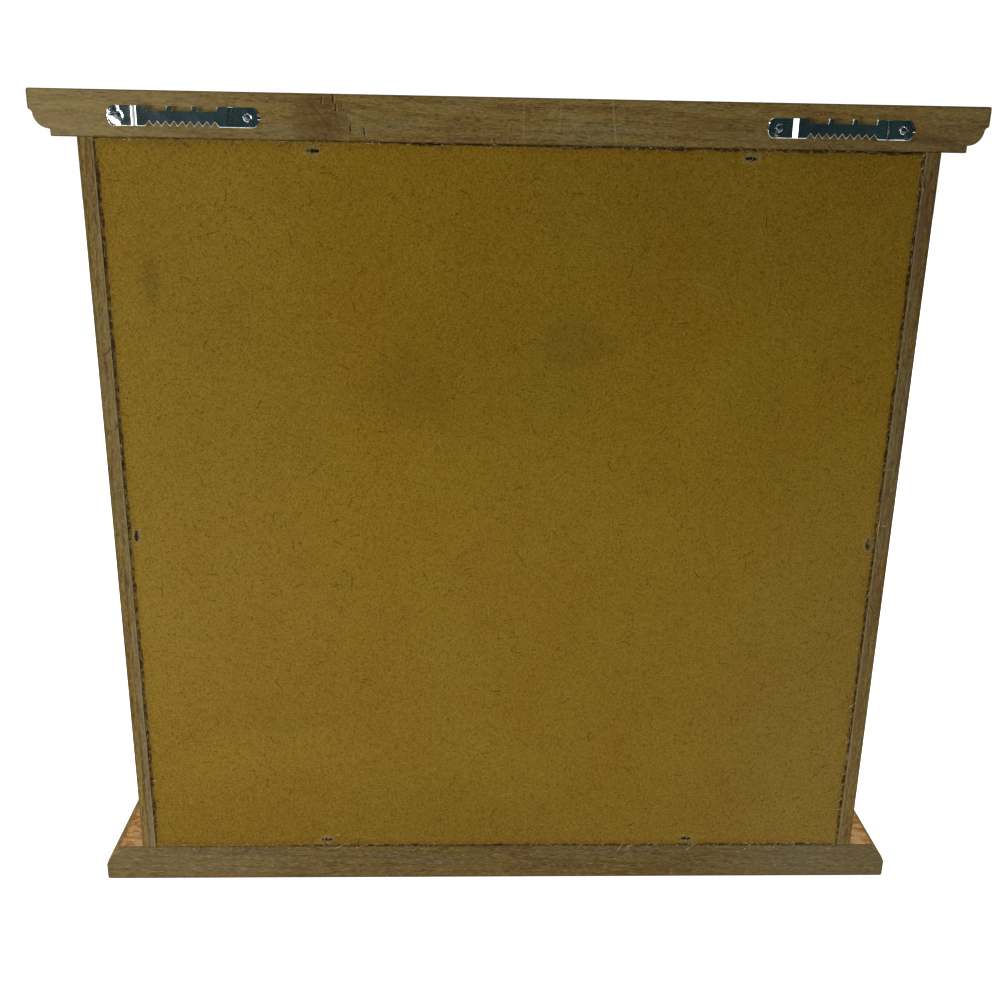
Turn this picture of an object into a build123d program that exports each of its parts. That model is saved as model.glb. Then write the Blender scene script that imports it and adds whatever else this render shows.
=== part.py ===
from build123d import *
import os

os.makedirs("parts", exist_ok=True)

# A wall and table case for golf balls: an oak box of grooved shelves between a moulded
# crown and a base, a hardboard back, two sawtooth hangers, and a glazed door in front.
# Millimetres. Front towards -Y, back towards +Y, up +Z. Left and right are the viewer's,
# standing in front. The origin is the centre of the base board's underside.

# What the case holds
ball_radius = 21.335
rows = 6
row_ball_count = 8
row_spare = 1.54
ball_headroom = 6.0
ball_front_room = 7.33

# Crown and base
board_thickness = 19.05
overhang = 19.05
base_step = 2.6
base_round_width = 6.9
base_round_height = 8.1
base_round_radius = 11.3
arris = 1.0
crown_band = 9.3
crown_step = 1.7
crown_step_fall = 1.2
crown_round = 6.75

# Sides and shelves
side_thickness = 12.7
side_lip = 6.8
shelf_thickness = 7.94
dado_depth = 3.2
dado_play = 0.1
groove_depth = 3.0
groove_play = 0.7

# Hardboard back and its staples
hardboard_thickness = 3.175
hardboard_play = 0.4
staple_width = 5.0
staple_wire = 1.0
staple_leg = 12.0
staple_sink = 0.4
staple_play = 0.1
top_staples_x = (-101.6, 85.6)
bottom_staples_x = (-96.8, 89.5)
side_staple_inset = 3.8
left_staple_drop = 5.9
right_staple_drop = 3.9

# Sawtooth hangers, bent from one strip each
hanger_inset = 64.0
hanger_rise = 8.8
hanger_length = 62.6
hanger_height = 8.2
hanger_sheet = 0.8
hanger_stand = 1.8
hanger_tab = 10.5
hanger_joggle = 2.0
hanger_corner = 2.6
tooth_count = 9
tooth_pitch = 3.41
tooth_depth = 2.1
window_count = 3
window_width = 8.0
window_depth = 2.0
window_bar = 2.4
prong_width = 1.6
prong_length = 3.0
prong_lean = 0.9
prong_play = 0.1
hanger_nail_inset = 4.4

# Door frame and glass
door_thickness = 15.875
door_gap = 0.8
door_clearance = 1.6
frame_width = 22.225
frame_ease = 2.5
glass_rebate = 6.35
pocket_depth = 9.525
glass_thickness = 2.2
glass_play = 0.5
mortise_cover = 10.225
tenon_thickness = 6.35
tenon_shoulder = 3.2
tenon_play = 0.1
bead_recess = 0.8
bead_play = 0.15
bead_ease = 2.0
brad_radius = 0.6
brad_length = 14.0
brad_play = 0.05
brad_corner_distance = 60.0

# Butt hinges
hinge_inset = 55.0
hinge_height = 38.1
hinge_on_wood = 8.8
leaf_thickness = 1.0
leaf_corner = 1.5
knuckle_radius = 2.2
knuckle_count = 5
knuckle_play = 0.12
knuckle_clearance = 0.4
pin_radius = 1.0
pin_play = 0.05
pin_cap_radius = 1.7
pin_cap_height = 0.9
mortise_play = 0.1
hinge_screw_spacing = 24.0

# Knob and magnetic catches
knob_radius = 8.0
knob_reach = 16.0
knob_foot_radius = 5.5
knob_foot_height = 1.2
knob_neck_radius = 3.2
knob_neck_height = 5.5
knob_edge_height = 11.0
knob_screw_bite = 8.0
magnet_radius = 3.0
magnet_length = 6.0
magnet_proud = 0.3
strike_radius = 5.0
strike_thickness = 0.8
catch_play = 0.1

# Screws and nails: shank radius, head radius, length
base_screw_size = (1.75, 3.3, 38.0)
crown_screw_size = (1.75, 3.3, 18.5)
hinge_screw_size = (1.1, 2.1, 10.0)
strike_screw_size = (1.0, 1.9, 8.0)
knob_screw_shank = 2.0
knob_screw_head = 3.8
hanger_nail_size = (0.6, 1.5, 11.0)
head_rim = 0.15
head_sink = 0.3
screw_play = 0.05
recess_span = 1.3
recess_slot = 0.3
base_screw_margin = 12.0
crown_screw_spacing_x = 220.0
crown_screw_spacing_y = 26.0

# Widths and depths that follow
interior_width = row_ball_count * 2 * ball_radius + row_spare
interior_depth = 2 * ball_radius + ball_front_room
body_width = interior_width + 2 * side_thickness
case_length = body_width + 2 * overhang
side_depth = interior_depth + hardboard_thickness
case_depth = side_depth + door_gap + door_thickness + overhang
inner_x = interior_width / 2
outer_x = body_width / 2
rebate_x = outer_x - side_lip
back_y = case_depth / 2
hardboard_y = back_y - hardboard_thickness
side_front = back_y - side_depth
door_back = side_front - door_gap
door_front = door_back - door_thickness
interior_middle = (side_front + hardboard_y) / 2

# Heights that follow
row_height = 2 * ball_radius + ball_headroom
base_top = board_thickness
row_pitch = row_height + shelf_thickness
side_height = rows * row_pitch + shelf_thickness
crown_bottom = base_top + side_height
crown_top = crown_bottom + board_thickness
middle_z = base_top + side_height / 2
shelf_bottoms = [base_top + level * row_pitch for level in range(rows + 1)]
top_panel_bottom = shelf_bottoms[-1]


# Fasteners


def flat_head(shank, head, length, play=0.0, cover=0.0):
    """A flat-headed fastener with its head's face on Z = 0 and its point down.

    With play it is the hole for that fastener, and cover opens the hole upwards.
    """
    cone_foot = -head_rim - (head - shank)
    with BuildPart() as fastener:
        with BuildSketch(Plane.XZ):
            with BuildLine():
                Polyline(
                    (0, cover),
                    (head + play, cover),
                    (head + play, -head_rim),
                    (shank + play, cone_foot),
                    (shank + play, shank - length),
                    (0, -length - play),
                    close=True,
                )
            make_face()
        revolve(axis=Axis.Z)
    return fastener.part


def cross_head(shank, head, length):
    """The same fastener with a cross recess for the driver."""
    span = recess_span * head
    slot = recess_slot * head
    with BuildPart() as screw:
        add(flat_head(shank, head, length))
        Box(span, slot, head, mode=Mode.SUBTRACT)
        Box(slot, span, head, mode=Mode.SUBTRACT)
    return screw.part


def hole_for(size, cover=head_sink + arris):
    """The hole that a fastener of this size sits in, open past the surface."""
    return flat_head(*size, play=screw_play, cover=cover)


face_down = (180, 0, 0)
face_front = (90, 0, 0)
face_back = (-90, 0, 0)

# Two screws rise through the base into each side's end grain, clear of the dado.
base_screw_x = (inner_x + dado_depth + outer_x) / 2
base_screw_places = [
    Location((x, y, head_sink), face_down)
    for x in (-base_screw_x, base_screw_x)
    for y in (side_front + base_screw_margin, hardboard_y - base_screw_margin)
]

# Four screws rise through the top panel into the crown, hidden inside the case.
crown_screw_places = [
    Location((x, interior_middle + y, top_panel_bottom + head_sink), face_down)
    for x in (-crown_screw_spacing_x / 2, crown_screw_spacing_x / 2)
    for y in (-crown_screw_spacing_y / 2, crown_screw_spacing_y / 2)
]

with BuildPart() as base_screws:
    with Locations(*base_screw_places):
        add(cross_head(*base_screw_size))

with BuildPart() as crown_screws:
    with Locations(*crown_screw_places):
        add(cross_head(*crown_screw_size))


# Staples of the hardboard back


def staple_shape(play=0.0, cover=0.0):
    """A staple with its crown's back on Y = 0 and legs forward, or with play its socket."""
    wire = staple_wire + 2 * play
    with BuildPart() as staple:
        with BuildSketch(Plane.XY.offset(-wire / 2)):
            with Locations((0, cover)):
                Rectangle(
                    staple_width + 2 * play,
                    staple_wire + play + cover,
                    align=(Align.CENTER, Align.MAX),
                )
            leg_x = (staple_width - staple_wire) / 2
            with Locations((-leg_x, 0), (leg_x, 0)):
                Rectangle(wire, staple_leg + play, align=(Align.CENTER, Align.MAX))
        extrude(amount=wire)
    return staple.part


upright = (0, 90, 0)
staple_y = back_y - staple_sink
top_staple_z = top_panel_bottom + shelf_thickness / 2
bottom_staple_z = base_top + shelf_thickness / 2
side_staple_x = rebate_x - side_staple_inset
staple_places = (
    [Location((x, staple_y, top_staple_z)) for x in top_staples_x]
    + [Location((x, staple_y, bottom_staple_z)) for x in bottom_staples_x]
    + [Location((-side_staple_x, staple_y, middle_z - left_staple_drop), upright)]
    + [Location((side_staple_x, staple_y, middle_z - right_staple_drop), upright)]
)

with BuildPart() as back_staples:
    with Locations(*staple_places):
        add(staple_shape())

with BuildPart() as staple_sockets:
    with Locations(*staple_places):
        add(staple_shape(play=staple_play, cover=staple_sink + arris))


# Sawtooth hangers

hanger_z = crown_bottom + hanger_rise
hanger_half = hanger_length / 2
hanger_rise_x = hanger_half - hanger_tab
hanger_flat_x = hanger_rise_x - hanger_joggle
hanger_bend = hanger_sheet * hanger_stand / (hanger_stand + 2 * hanger_joggle)
hanger_nail_x = hanger_half - hanger_nail_inset
tooth_foot = hanger_z - hanger_height / 2
window_top = hanger_z + hanger_height / 2
hanger_centers = (hanger_inset - case_length / 2, case_length / 2 - hanger_inset)

with BuildPart() as hanger:
    # Seen from above: flat tabs on the wood, a joggle each side, the middle standing off.
    with BuildSketch(Plane.XY.offset(tooth_foot)):
        with BuildLine():
            Polyline(
                (0, back_y + hanger_stand),
                (hanger_flat_x, back_y + hanger_stand),
                (hanger_rise_x, back_y),
                (hanger_half, back_y),
                (hanger_half, back_y + hanger_sheet),
                (hanger_rise_x + hanger_bend, back_y + hanger_sheet),
                (hanger_flat_x + hanger_bend, back_y + hanger_stand + hanger_sheet),
                (0, back_y + hanger_stand + hanger_sheet),
            )
            mirror(about=Plane.YZ)
        make_face()
    extrude(amount=hanger_height)
    tips = hanger.edges().filter_by(Axis.Y).group_by(Axis.X)
    fillet(tips[0] + tips[-1], hanger_corner)

    # Teeth along the lower edge and windows along the upper edge.
    with BuildSketch(Plane.XZ.offset(-back_y)):
        for tooth in range(tooth_count):
            tooth_x = (tooth - tooth_count / 2) * tooth_pitch
            with BuildLine():
                Polyline(
                    (tooth_x, tooth_foot),
                    (tooth_x + tooth_pitch / 2, tooth_foot + tooth_depth),
                    (tooth_x + tooth_pitch, tooth_foot),
                    (tooth_x + tooth_pitch, tooth_foot - arris),
                    (tooth_x, tooth_foot - arris),
                    close=True,
                )
            make_face()
        with Locations((0, window_top)):
            with GridLocations(window_width + window_bar, 1, window_count, 1):
                Rectangle(window_width, 2 * window_depth)
    extrude(amount=-2 * (hanger_stand + hanger_sheet), mode=Mode.SUBTRACT)

    # A prong bent into the wood at each tip.
    with BuildSketch(Plane.XY.offset(hanger_z - prong_width / 2)):
        with BuildLine():
            Polyline(
                (hanger_half - hanger_sheet, back_y + hanger_sheet),
                (hanger_half, back_y + hanger_sheet),
                (hanger_half + prong_lean, back_y),
                (hanger_half + prong_lean / 2, back_y - prong_length),
                (hanger_half - hanger_sheet, back_y),
                close=True,
            )
        make_face()
        mirror(about=Plane.YZ)
    extrude(amount=prong_width)
    with Locations(
        Location((-hanger_nail_x, back_y + hanger_sheet, hanger_z), face_back),
        Location((hanger_nail_x, back_y + hanger_sheet, hanger_z), face_back),
    ):
        add(hole_for(hanger_nail_size), mode=Mode.SUBTRACT)

with BuildPart() as hanger_left:
    with Locations((hanger_centers[0], 0)):
        add(hanger.part)

with BuildPart() as hanger_right:
    with Locations((hanger_centers[1], 0)):
        add(hanger.part)

hanger_nail_places = [
    Location((center + x, back_y + hanger_sheet, hanger_z), face_back)
    for center in hanger_centers
    for x in (-hanger_nail_x, hanger_nail_x)
]
prong_places = [
    (center + x, back_y, hanger_z)
    for center in hanger_centers
    for x in (-hanger_half, hanger_half)
]

with BuildPart() as hanger_nails:
    with Locations(*hanger_nail_places):
        add(flat_head(*hanger_nail_size))

with BuildPart() as prong_sockets:
    with Locations(*prong_places):
        Box(
            2 * (prong_lean + prong_play),
            2 * (prong_length + prong_play),
            prong_width + 2 * prong_play,
        )


# Base and crown


def base_moulding(edge, inward):
    """Draw the base's moulded edge, from the underside up to the top."""
    shoulder_x = edge + inward * base_round_width
    shoulder_z = base_top - base_step
    foot_z = shoulder_z - base_round_height
    Line((edge, 0), (edge, foot_z))
    RadiusArc((edge, foot_z), (shoulder_x, shoulder_z), inward * base_round_radius)
    Line((shoulder_x, shoulder_z), (shoulder_x, base_top))
    return shoulder_x


def crown_moulding(edge, inward):
    """Draw the crown's moulded edge, from the top down to the underside."""
    band_foot = crown_top - crown_band
    round_x = edge + inward * crown_step
    foot_x = round_x + inward * crown_round
    foot_z = band_foot - crown_round
    Polyline((edge, crown_top), (edge, band_foot + crown_step_fall), (round_x, band_foot))
    TangentArc((round_x, band_foot), (foot_x, foot_z), tangent=(0, -1))
    Line((foot_x, foot_z), (foot_x, crown_bottom))
    return foot_x


with BuildPart() as base_board:
    # Seen from the front, moulded at both ends.
    with BuildSketch(Plane.XZ):
        with BuildLine():
            left_shoulder = base_moulding(-case_length / 2, 1)
            right_shoulder = base_moulding(case_length / 2, -1)
            Line((-case_length / 2, 0), (case_length / 2, 0))
            Line((left_shoulder, base_top), (right_shoulder, base_top))
        make_face()
    extrude(amount=case_depth / 2, both=True)
    # Seen from the end, moulded at the front and sawn square at the back.
    with BuildSketch(Plane.YZ):
        with BuildLine():
            front_shoulder = base_moulding(-back_y, 1)
            Polyline((-back_y, 0), (back_y, 0), (back_y, base_top), (front_shoulder, base_top))
        make_face()
    extrude(amount=case_length / 2, both=True, mode=Mode.INTERSECT)
    lower_edges = base_board.edges().group_by(Axis.Z)[0].sort_by(Axis.Y)[:-1]
    fillet(lower_edges, arris)
    with Locations(*base_screw_places):
        add(hole_for(base_screw_size), mode=Mode.SUBTRACT)


with BuildPart() as crown_board:
    # Seen from the front, moulded at both ends.
    with BuildSketch(Plane.XZ):
        with BuildLine():
            left_foot = crown_moulding(-case_length / 2, 1)
            right_foot = crown_moulding(case_length / 2, -1)
            Line((-case_length / 2, crown_top), (case_length / 2, crown_top))
            Line((left_foot, crown_bottom), (right_foot, crown_bottom))
        make_face()
    extrude(amount=case_depth / 2, both=True)
    # Seen from the end, moulded at the front and sawn square at the back.
    with BuildSketch(Plane.YZ):
        with BuildLine():
            front_foot = crown_moulding(-back_y, 1)
            Polyline(
                (-back_y, crown_top),
                (back_y, crown_top),
                (back_y, crown_bottom),
                (front_foot, crown_bottom),
            )
        make_face()
    extrude(amount=case_length / 2, both=True, mode=Mode.INTERSECT)
    top_edges = crown_board.edges().group_by(Axis.Z)[-1].sort_by(Axis.Y)[:-1]
    fillet(top_edges, arris)
    with Locations(*crown_screw_places):
        add(hole_for(crown_screw_size), mode=Mode.SUBTRACT)
    with Locations(*hanger_nail_places):
        add(hole_for(hanger_nail_size), mode=Mode.SUBTRACT)
    add(prong_sockets.part, mode=Mode.SUBTRACT)


# Hinge leaves, made around the pin's axis and then set in place

hinge_standoff = knuckle_radius + knuckle_clearance
leaf_reach = hinge_standoff + hinge_on_wood
hinge_x = -outer_x - hinge_standoff
hinge_y = (side_front + door_back) / 2
hinge_levels = (base_top + hinge_inset, crown_bottom - hinge_inset)
hinge_places = [(hinge_x, hinge_y, level) for level in hinge_levels]
knuckle = hinge_height / knuckle_count
knuckle_levels = [(n - (knuckle_count - 1) / 2) * knuckle for n in range(knuckle_count)]
case_knuckles = [(0, 0, z) for z in knuckle_levels[0::2]]
door_knuckles = [(0, 0, z) for z in knuckle_levels[1::2]]
leaf_screw_x = hinge_standoff + hinge_on_wood / 2
leaf_screw_heights = (-hinge_screw_spacing / 2, hinge_screw_spacing / 2)


def leaf_screw_places(side, rotation):
    """Screw places on a leaf about the pin; side is +1 on the case and -1 on the door."""
    head_y = side * (door_gap / 2 + head_rim)
    return [Location((leaf_screw_x, head_y, z), rotation) for z in leaf_screw_heights]


def hinge_leaf(side, other_knuckles, rotation):
    """One leaf: a screwed plate that wraps the pin between the other leaf's knuckles."""
    with BuildPart() as leaf:
        with BuildSketch(Plane.XY):
            with Locations((leaf_reach / 2, side * (door_gap + leaf_thickness) / 2)):
                Rectangle(leaf_reach, leaf_thickness)
        extrude(amount=hinge_height / 2, both=True)
        fillet(leaf.edges().filter_by(Axis.Y).group_by(Axis.X)[-1], leaf_corner)
        Cylinder(knuckle_radius, hinge_height)
        Cylinder(pin_radius + pin_play, 2 * hinge_height, mode=Mode.SUBTRACT)
        with Locations(*other_knuckles):
            Cylinder(
                knuckle_radius + knuckle_clearance,
                knuckle + 2 * knuckle_play,
                mode=Mode.SUBTRACT,
            )
        with Locations(*leaf_screw_places(side, rotation)):
            add(hole_for(hinge_screw_size), mode=Mode.SUBTRACT)
    return leaf.part


case_leaf = hinge_leaf(1, door_knuckles, face_front)
door_leaf = hinge_leaf(-1, case_knuckles, face_back)

with BuildPart() as hinge_case_leaf_bottom:
    with Locations(hinge_places[0]):
        add(case_leaf)

with BuildPart() as hinge_case_leaf_top:
    with Locations(hinge_places[1]):
        add(case_leaf)

with BuildPart() as hinge_door_leaf_bottom:
    with Locations(hinge_places[0]):
        add(door_leaf)

with BuildPart() as hinge_door_leaf_top:
    with Locations(hinge_places[1]):
        add(door_leaf)

with BuildPart() as hinge_pin:
    Cylinder(pin_radius, hinge_height)
    cap_level = (hinge_height + pin_cap_height) / 2
    with Locations((0, 0, -cap_level), (0, 0, cap_level)):
        Cylinder(pin_cap_radius, pin_cap_height)
    cap_rims = hinge_pin.edges().filter_by(GeomType.CIRCLE).group_by(Axis.Z)
    chamfer(cap_rims[0] + cap_rims[-1], pin_cap_height / 3)

with BuildPart() as hinge_pins:
    with Locations(*hinge_places):
        add(hinge_pin.part)


def hinge_screw_group(side, rotation, shape):
    """Four copies of a shape, two on each hinge's leaf."""
    with BuildPart() as group:
        for place in hinge_places:
            for spot in leaf_screw_places(side, rotation):
                with Locations(Location(place) * spot):
                    add(shape)
    return group


hinge_screw_hole = hole_for(hinge_screw_size)
hinge_case_screws = hinge_screw_group(1, face_front, cross_head(*hinge_screw_size))
hinge_door_screws = hinge_screw_group(-1, face_back, cross_head(*hinge_screw_size))
hinge_case_holes = hinge_screw_group(1, face_front, hinge_screw_hole)
hinge_door_holes = hinge_screw_group(-1, face_back, hinge_screw_hole)

# One block sinks both leaves of a hinge: half into the case, half into the door.
with BuildPart() as hinge_mortises:
    with Locations(*[(-outer_x, hinge_y, level) for level in hinge_levels]):
        Box(
            2 * (hinge_on_wood + mortise_play),
            door_gap + 2 * leaf_thickness,
            hinge_height + 2 * mortise_play,
        )


# Magnets in the right side's front edge, strike discs on the door

catch_x = (inner_x + outer_x) / 2
catch_levels = (
    shelf_bottoms[0] + shelf_thickness + row_height / 2,
    shelf_bottoms[rows - 1] + shelf_thickness + row_height / 2,
)
magnet_y = side_front - magnet_proud
magnet_places = [Location((catch_x, magnet_y, z), face_back) for z in catch_levels]
strike_places = [Location((catch_x, door_back, z), face_back) for z in catch_levels]
from_top = (Align.CENTER, Align.CENTER, Align.MIN)
from_foot = (Align.CENTER, Align.CENTER, Align.MAX)

with BuildPart() as catch_magnets:
    with Locations(*magnet_places):
        Cylinder(magnet_radius, magnet_length, align=from_top)

with BuildPart() as magnet_holes:
    with Locations(*magnet_places):
        Cylinder(magnet_radius + catch_play, magnet_length + catch_play, align=from_top)

with BuildPart() as strike_discs:
    with Locations(*strike_places):
        Cylinder(strike_radius, strike_thickness, align=from_foot)
        add(hole_for(strike_screw_size), mode=Mode.SUBTRACT)

with BuildPart() as strike_screws:
    with Locations(*strike_places):
        add(cross_head(*strike_screw_size))

with BuildPart() as strike_recesses:
    with Locations(*strike_places):
        Cylinder(strike_radius + catch_play, strike_thickness, align=from_foot)
        add(hole_for(strike_screw_size))


# Sides

with BuildPart() as side_blank:
    with BuildSketch(Plane.XY.offset(base_top)):
        with BuildLine():
            Polyline(
                (inner_x, side_front),
                (outer_x, side_front),
                (outer_x, back_y),
                (rebate_x, back_y),
                (rebate_x, hardboard_y),
                (inner_x, hardboard_y),
                close=True,
            )
        make_face()
    extrude(amount=side_height)
    with Locations(
        *[(inner_x, interior_middle, z + shelf_thickness / 2) for z in shelf_bottoms]
    ):
        Box(
            2 * dado_depth,
            2 * side_depth,
            shelf_thickness + 2 * dado_play,
            mode=Mode.SUBTRACT,
        )

with BuildPart() as side_left:
    mirror(side_blank.part, about=Plane.YZ)
    with Locations(*base_screw_places):
        add(hole_for(base_screw_size), mode=Mode.SUBTRACT)
    add(staple_sockets.part, mode=Mode.SUBTRACT)
    add(hinge_mortises.part, mode=Mode.SUBTRACT)
    add(hinge_case_holes.part, mode=Mode.SUBTRACT)

with BuildPart() as side_right:
    add(side_blank.part)
    with Locations(*base_screw_places):
        add(hole_for(base_screw_size), mode=Mode.SUBTRACT)
    add(staple_sockets.part, mode=Mode.SUBTRACT)
    add(magnet_holes.part, mode=Mode.SUBTRACT)


# Shelves: the lowest lies on the base, and a plain panel of the same stock tops the rows

shelf_length = interior_width + 2 * (dado_depth - dado_play)
groove_radius = ball_radius + groove_play


def shelf_board(bottom):
    """A shelf's board with its ends in the dados, before the groove is cut."""
    with BuildPart() as board:
        with BuildSketch(Plane.XY.offset(bottom)):
            with Locations((0, interior_middle)):
                Rectangle(shelf_length, interior_depth)
        extrude(amount=shelf_thickness)
        add(staple_sockets.part, mode=Mode.SUBTRACT)
    return board.part


shelves = []
for level in range(rows):
    groove_axis_z = shelf_bottoms[level] + shelf_thickness - groove_depth + groove_radius
    with BuildPart() as shelf:
        add(shelf_board(shelf_bottoms[level]))
        with Locations(Location((0, interior_middle, groove_axis_z), upright)):
            Cylinder(groove_radius, 2 * shelf_length, mode=Mode.SUBTRACT)
    shelves.append(shelf)

with BuildPart() as top_panel:
    add(shelf_board(top_panel_bottom))
    with Locations(*crown_screw_places):
        add(hole_for(crown_screw_size), mode=Mode.SUBTRACT)


# Hardboard back

with BuildPart() as back_panel:
    with BuildSketch(Plane.XZ.offset(-back_y)):
        with Locations((0, middle_z)):
            Rectangle(2 * (rebate_x - hardboard_play), side_height - 2 * hardboard_play)
    extrude(amount=hardboard_thickness)
    add(staple_sockets.part, mode=Mode.SUBTRACT)


# Door: two stiles, two rails with stub tenons, one pocket behind for the glass

door_width = body_width
door_bottom = base_top + door_clearance
door_top = crown_bottom - door_clearance
door_height = door_top - door_bottom
door_middle = (door_front + door_back) / 2
stile_x = (door_width - frame_width) / 2
sight_x = door_width / 2 - frame_width
sight_z = door_height / 2 - frame_width
tenon_end_x = door_width / 2 - mortise_cover
pocket_x = sight_x + glass_rebate
pocket_z = sight_z + glass_rebate
pocket_front = door_back - pocket_depth
tenon_height = frame_width - glass_rebate - tenon_shoulder
rail_bottoms = (door_bottom, door_top - frame_width)
tenon_levels = (
    door_bottom + tenon_shoulder + tenon_height / 2,
    door_top - tenon_shoulder - tenon_height / 2,
)

with BuildPart() as glass_pocket:
    with BuildSketch(Plane.XZ.offset(-door_back - arris)):
        with Locations((0, middle_z)):
            Rectangle(2 * pocket_x, 2 * pocket_z)
    extrude(amount=arris + pocket_depth + arris)

with BuildPart() as tenon_sockets:
    with Locations(*[(0, door_middle, z) for z in tenon_levels]):
        Box(
            2 * (tenon_end_x + tenon_play),
            tenon_thickness + 2 * tenon_play,
            tenon_height + 2 * tenon_play,
        )

# Brads that pin the glass beads, two to a bead, from the bead's inner face outwards.
bead_outer_x = pocket_x - bead_play
bead_outer_z = pocket_z - bead_play
bead_width = glass_rebate - bead_play
bead_back = door_back - bead_recess
bead_front = pocket_front + glass_thickness
brad_y = (bead_back + bead_front) / 2
brad_x = sight_x - brad_corner_distance
brad_z = sight_z - brad_corner_distance
brad_places = (
    [Location((x, brad_y, middle_z + sight_z)) for x in (-brad_x, brad_x)]
    + [Location((x, brad_y, middle_z - sight_z), face_down) for x in (-brad_x, brad_x)]
    + [Location((sight_x, brad_y, middle_z + z), upright) for z in (-brad_z, brad_z)]
    + [Location((-sight_x, brad_y, middle_z + z), (0, -90, 0)) for z in (-brad_z, brad_z)]
)

with BuildPart() as bead_brads:
    with Locations(*brad_places):
        Cylinder(brad_radius, brad_length, align=from_top)

with BuildPart() as brad_holes:
    with Locations(*brad_places):
        Cylinder(brad_radius + brad_play, brad_length + brad_play, align=from_top)

# The knob's screw comes through the right stile from behind.
knob_x = stile_x
knob_screw_length = door_thickness - head_sink + knob_screw_bite
knob_screw_size = (knob_screw_shank, knob_screw_head, knob_screw_length)
knob_screw_place = Location((knob_x, door_back - head_sink, middle_z), face_back)

with BuildPart() as stile_blank:
    with BuildSketch(Plane.XY.offset(door_bottom)):
        with Locations((stile_x, door_middle)):
            Rectangle(frame_width, door_thickness)
    extrude(amount=door_height)
    front_edges = stile_blank.faces().sort_by(Axis.Y)[0].edges().sort_by(Axis.X)[1:]
    fillet(front_edges, frame_ease)

with BuildPart() as door_stile_right:
    add(stile_blank.part)
    add(glass_pocket.part, mode=Mode.SUBTRACT)
    add(tenon_sockets.part, mode=Mode.SUBTRACT)
    add(brad_holes.part, mode=Mode.SUBTRACT)
    add(strike_recesses.part, mode=Mode.SUBTRACT)
    with Locations(knob_screw_place):
        add(hole_for(knob_screw_size), mode=Mode.SUBTRACT)

with BuildPart() as door_stile_left:
    mirror(stile_blank.part, about=Plane.YZ)
    add(glass_pocket.part, mode=Mode.SUBTRACT)
    add(tenon_sockets.part, mode=Mode.SUBTRACT)
    add(brad_holes.part, mode=Mode.SUBTRACT)
    add(hinge_mortises.part, mode=Mode.SUBTRACT)
    add(hinge_door_holes.part, mode=Mode.SUBTRACT)


def door_rail(bottom, tenon_level, outer_edge):
    """A rail with a stub tenon at each end; outer_edge picks its eased front edge."""
    with BuildPart() as rail:
        with BuildSketch(Plane.XY.offset(bottom)):
            with Locations((0, door_middle)):
                Rectangle(2 * sight_x, door_thickness)
        extrude(amount=frame_width)
        front_edges = rail.faces().sort_by(Axis.Y)[0].edges().sort_by(Axis.Z)
        fillet(front_edges[outer_edge], frame_ease)
        with Locations((0, door_middle, tenon_level)):
            Box(2 * tenon_end_x, tenon_thickness, tenon_height)
        add(glass_pocket.part, mode=Mode.SUBTRACT)
        add(brad_holes.part, mode=Mode.SUBTRACT)
    return rail


door_rail_bottom = door_rail(rail_bottoms[0], tenon_levels[0], 0)
door_rail_top = door_rail(rail_bottoms[1], tenon_levels[1], -1)

with BuildPart() as door_glass:
    with BuildSketch(Plane.XZ.offset(-bead_front)):
        with Locations((0, middle_z)):
            Rectangle(2 * (pocket_x - glass_play), 2 * (pocket_z - glass_play))
    extrude(amount=glass_thickness)


def glass_bead(outer, length, plane):
    """A mitred bead that holds the glass, drawn on a plane across the door's back."""
    with BuildPart() as bead:
        with BuildSketch(plane):
            with BuildLine():
                Polyline(
                    (-length, outer),
                    (length, outer),
                    (length - bead_width, outer - bead_width),
                    (bead_width - length, outer - bead_width),
                    close=True,
                )
            make_face()
        extrude(amount=bead_back - bead_front)
        back_edges = bead.faces().sort_by(Axis.Y)[-1].edges().sort_by(SortBy.LENGTH)
        fillet(back_edges[-2], bead_ease)
        add(brad_holes.part, mode=Mode.SUBTRACT)
    return bead


def bead_plane(up):
    """The plane of the glass's back, turned so that its second axis points at up."""
    x_dir = Vector(*up).cross(Vector(0, 1, 0))
    return Plane(origin=(0, bead_front, middle_z), x_dir=x_dir, z_dir=(0, 1, 0))


glass_bead_top = glass_bead(bead_outer_z, bead_outer_x, bead_plane((0, 0, 1)))
glass_bead_bottom = glass_bead(bead_outer_z, bead_outer_x, bead_plane((0, 0, -1)))
glass_bead_right = glass_bead(bead_outer_x, bead_outer_z, bead_plane((1, 0, 0)))
glass_bead_left = glass_bead(bead_outer_x, bead_outer_z, bead_plane((-1, 0, 0)))

# Turned brass knob, with a dome that is a cap of a sphere
dome_height = knob_reach - knob_edge_height
dome_radius = (knob_radius**2 + dome_height**2) / (2 * dome_height)

with BuildPart() as door_knob:
    with BuildSketch(Plane.XZ):
        with BuildLine():
            foot = Polyline(
                (0, 0),
                (knob_foot_radius, 0),
                (knob_foot_radius, knob_foot_height),
                (knob_neck_radius, knob_foot_height * 2),
                (knob_neck_radius, knob_neck_height),
            )
            rim = Line(
                (knob_neck_radius, knob_neck_height),
                (knob_radius, knob_edge_height - knob_foot_height),
            )
            edge = Line(rim @ 1, (knob_radius, knob_edge_height))
            RadiusArc(edge @ 1, (0, knob_reach), -dome_radius)
            Line((0, knob_reach), foot @ 0)
        make_face()
    revolve(axis=Axis.Z)
    Cylinder(
        knob_screw_shank + screw_play,
        2 * (knob_screw_bite + screw_play),
        mode=Mode.SUBTRACT,
    )

with BuildPart() as knob:
    with Locations(Location((knob_x, door_front, middle_z), face_front)):
        add(door_knob.part)

with BuildPart() as knob_screw:
    with Locations(knob_screw_place):
        add(cross_head(*knob_screw_size))


# Write each piece to its own file

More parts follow.
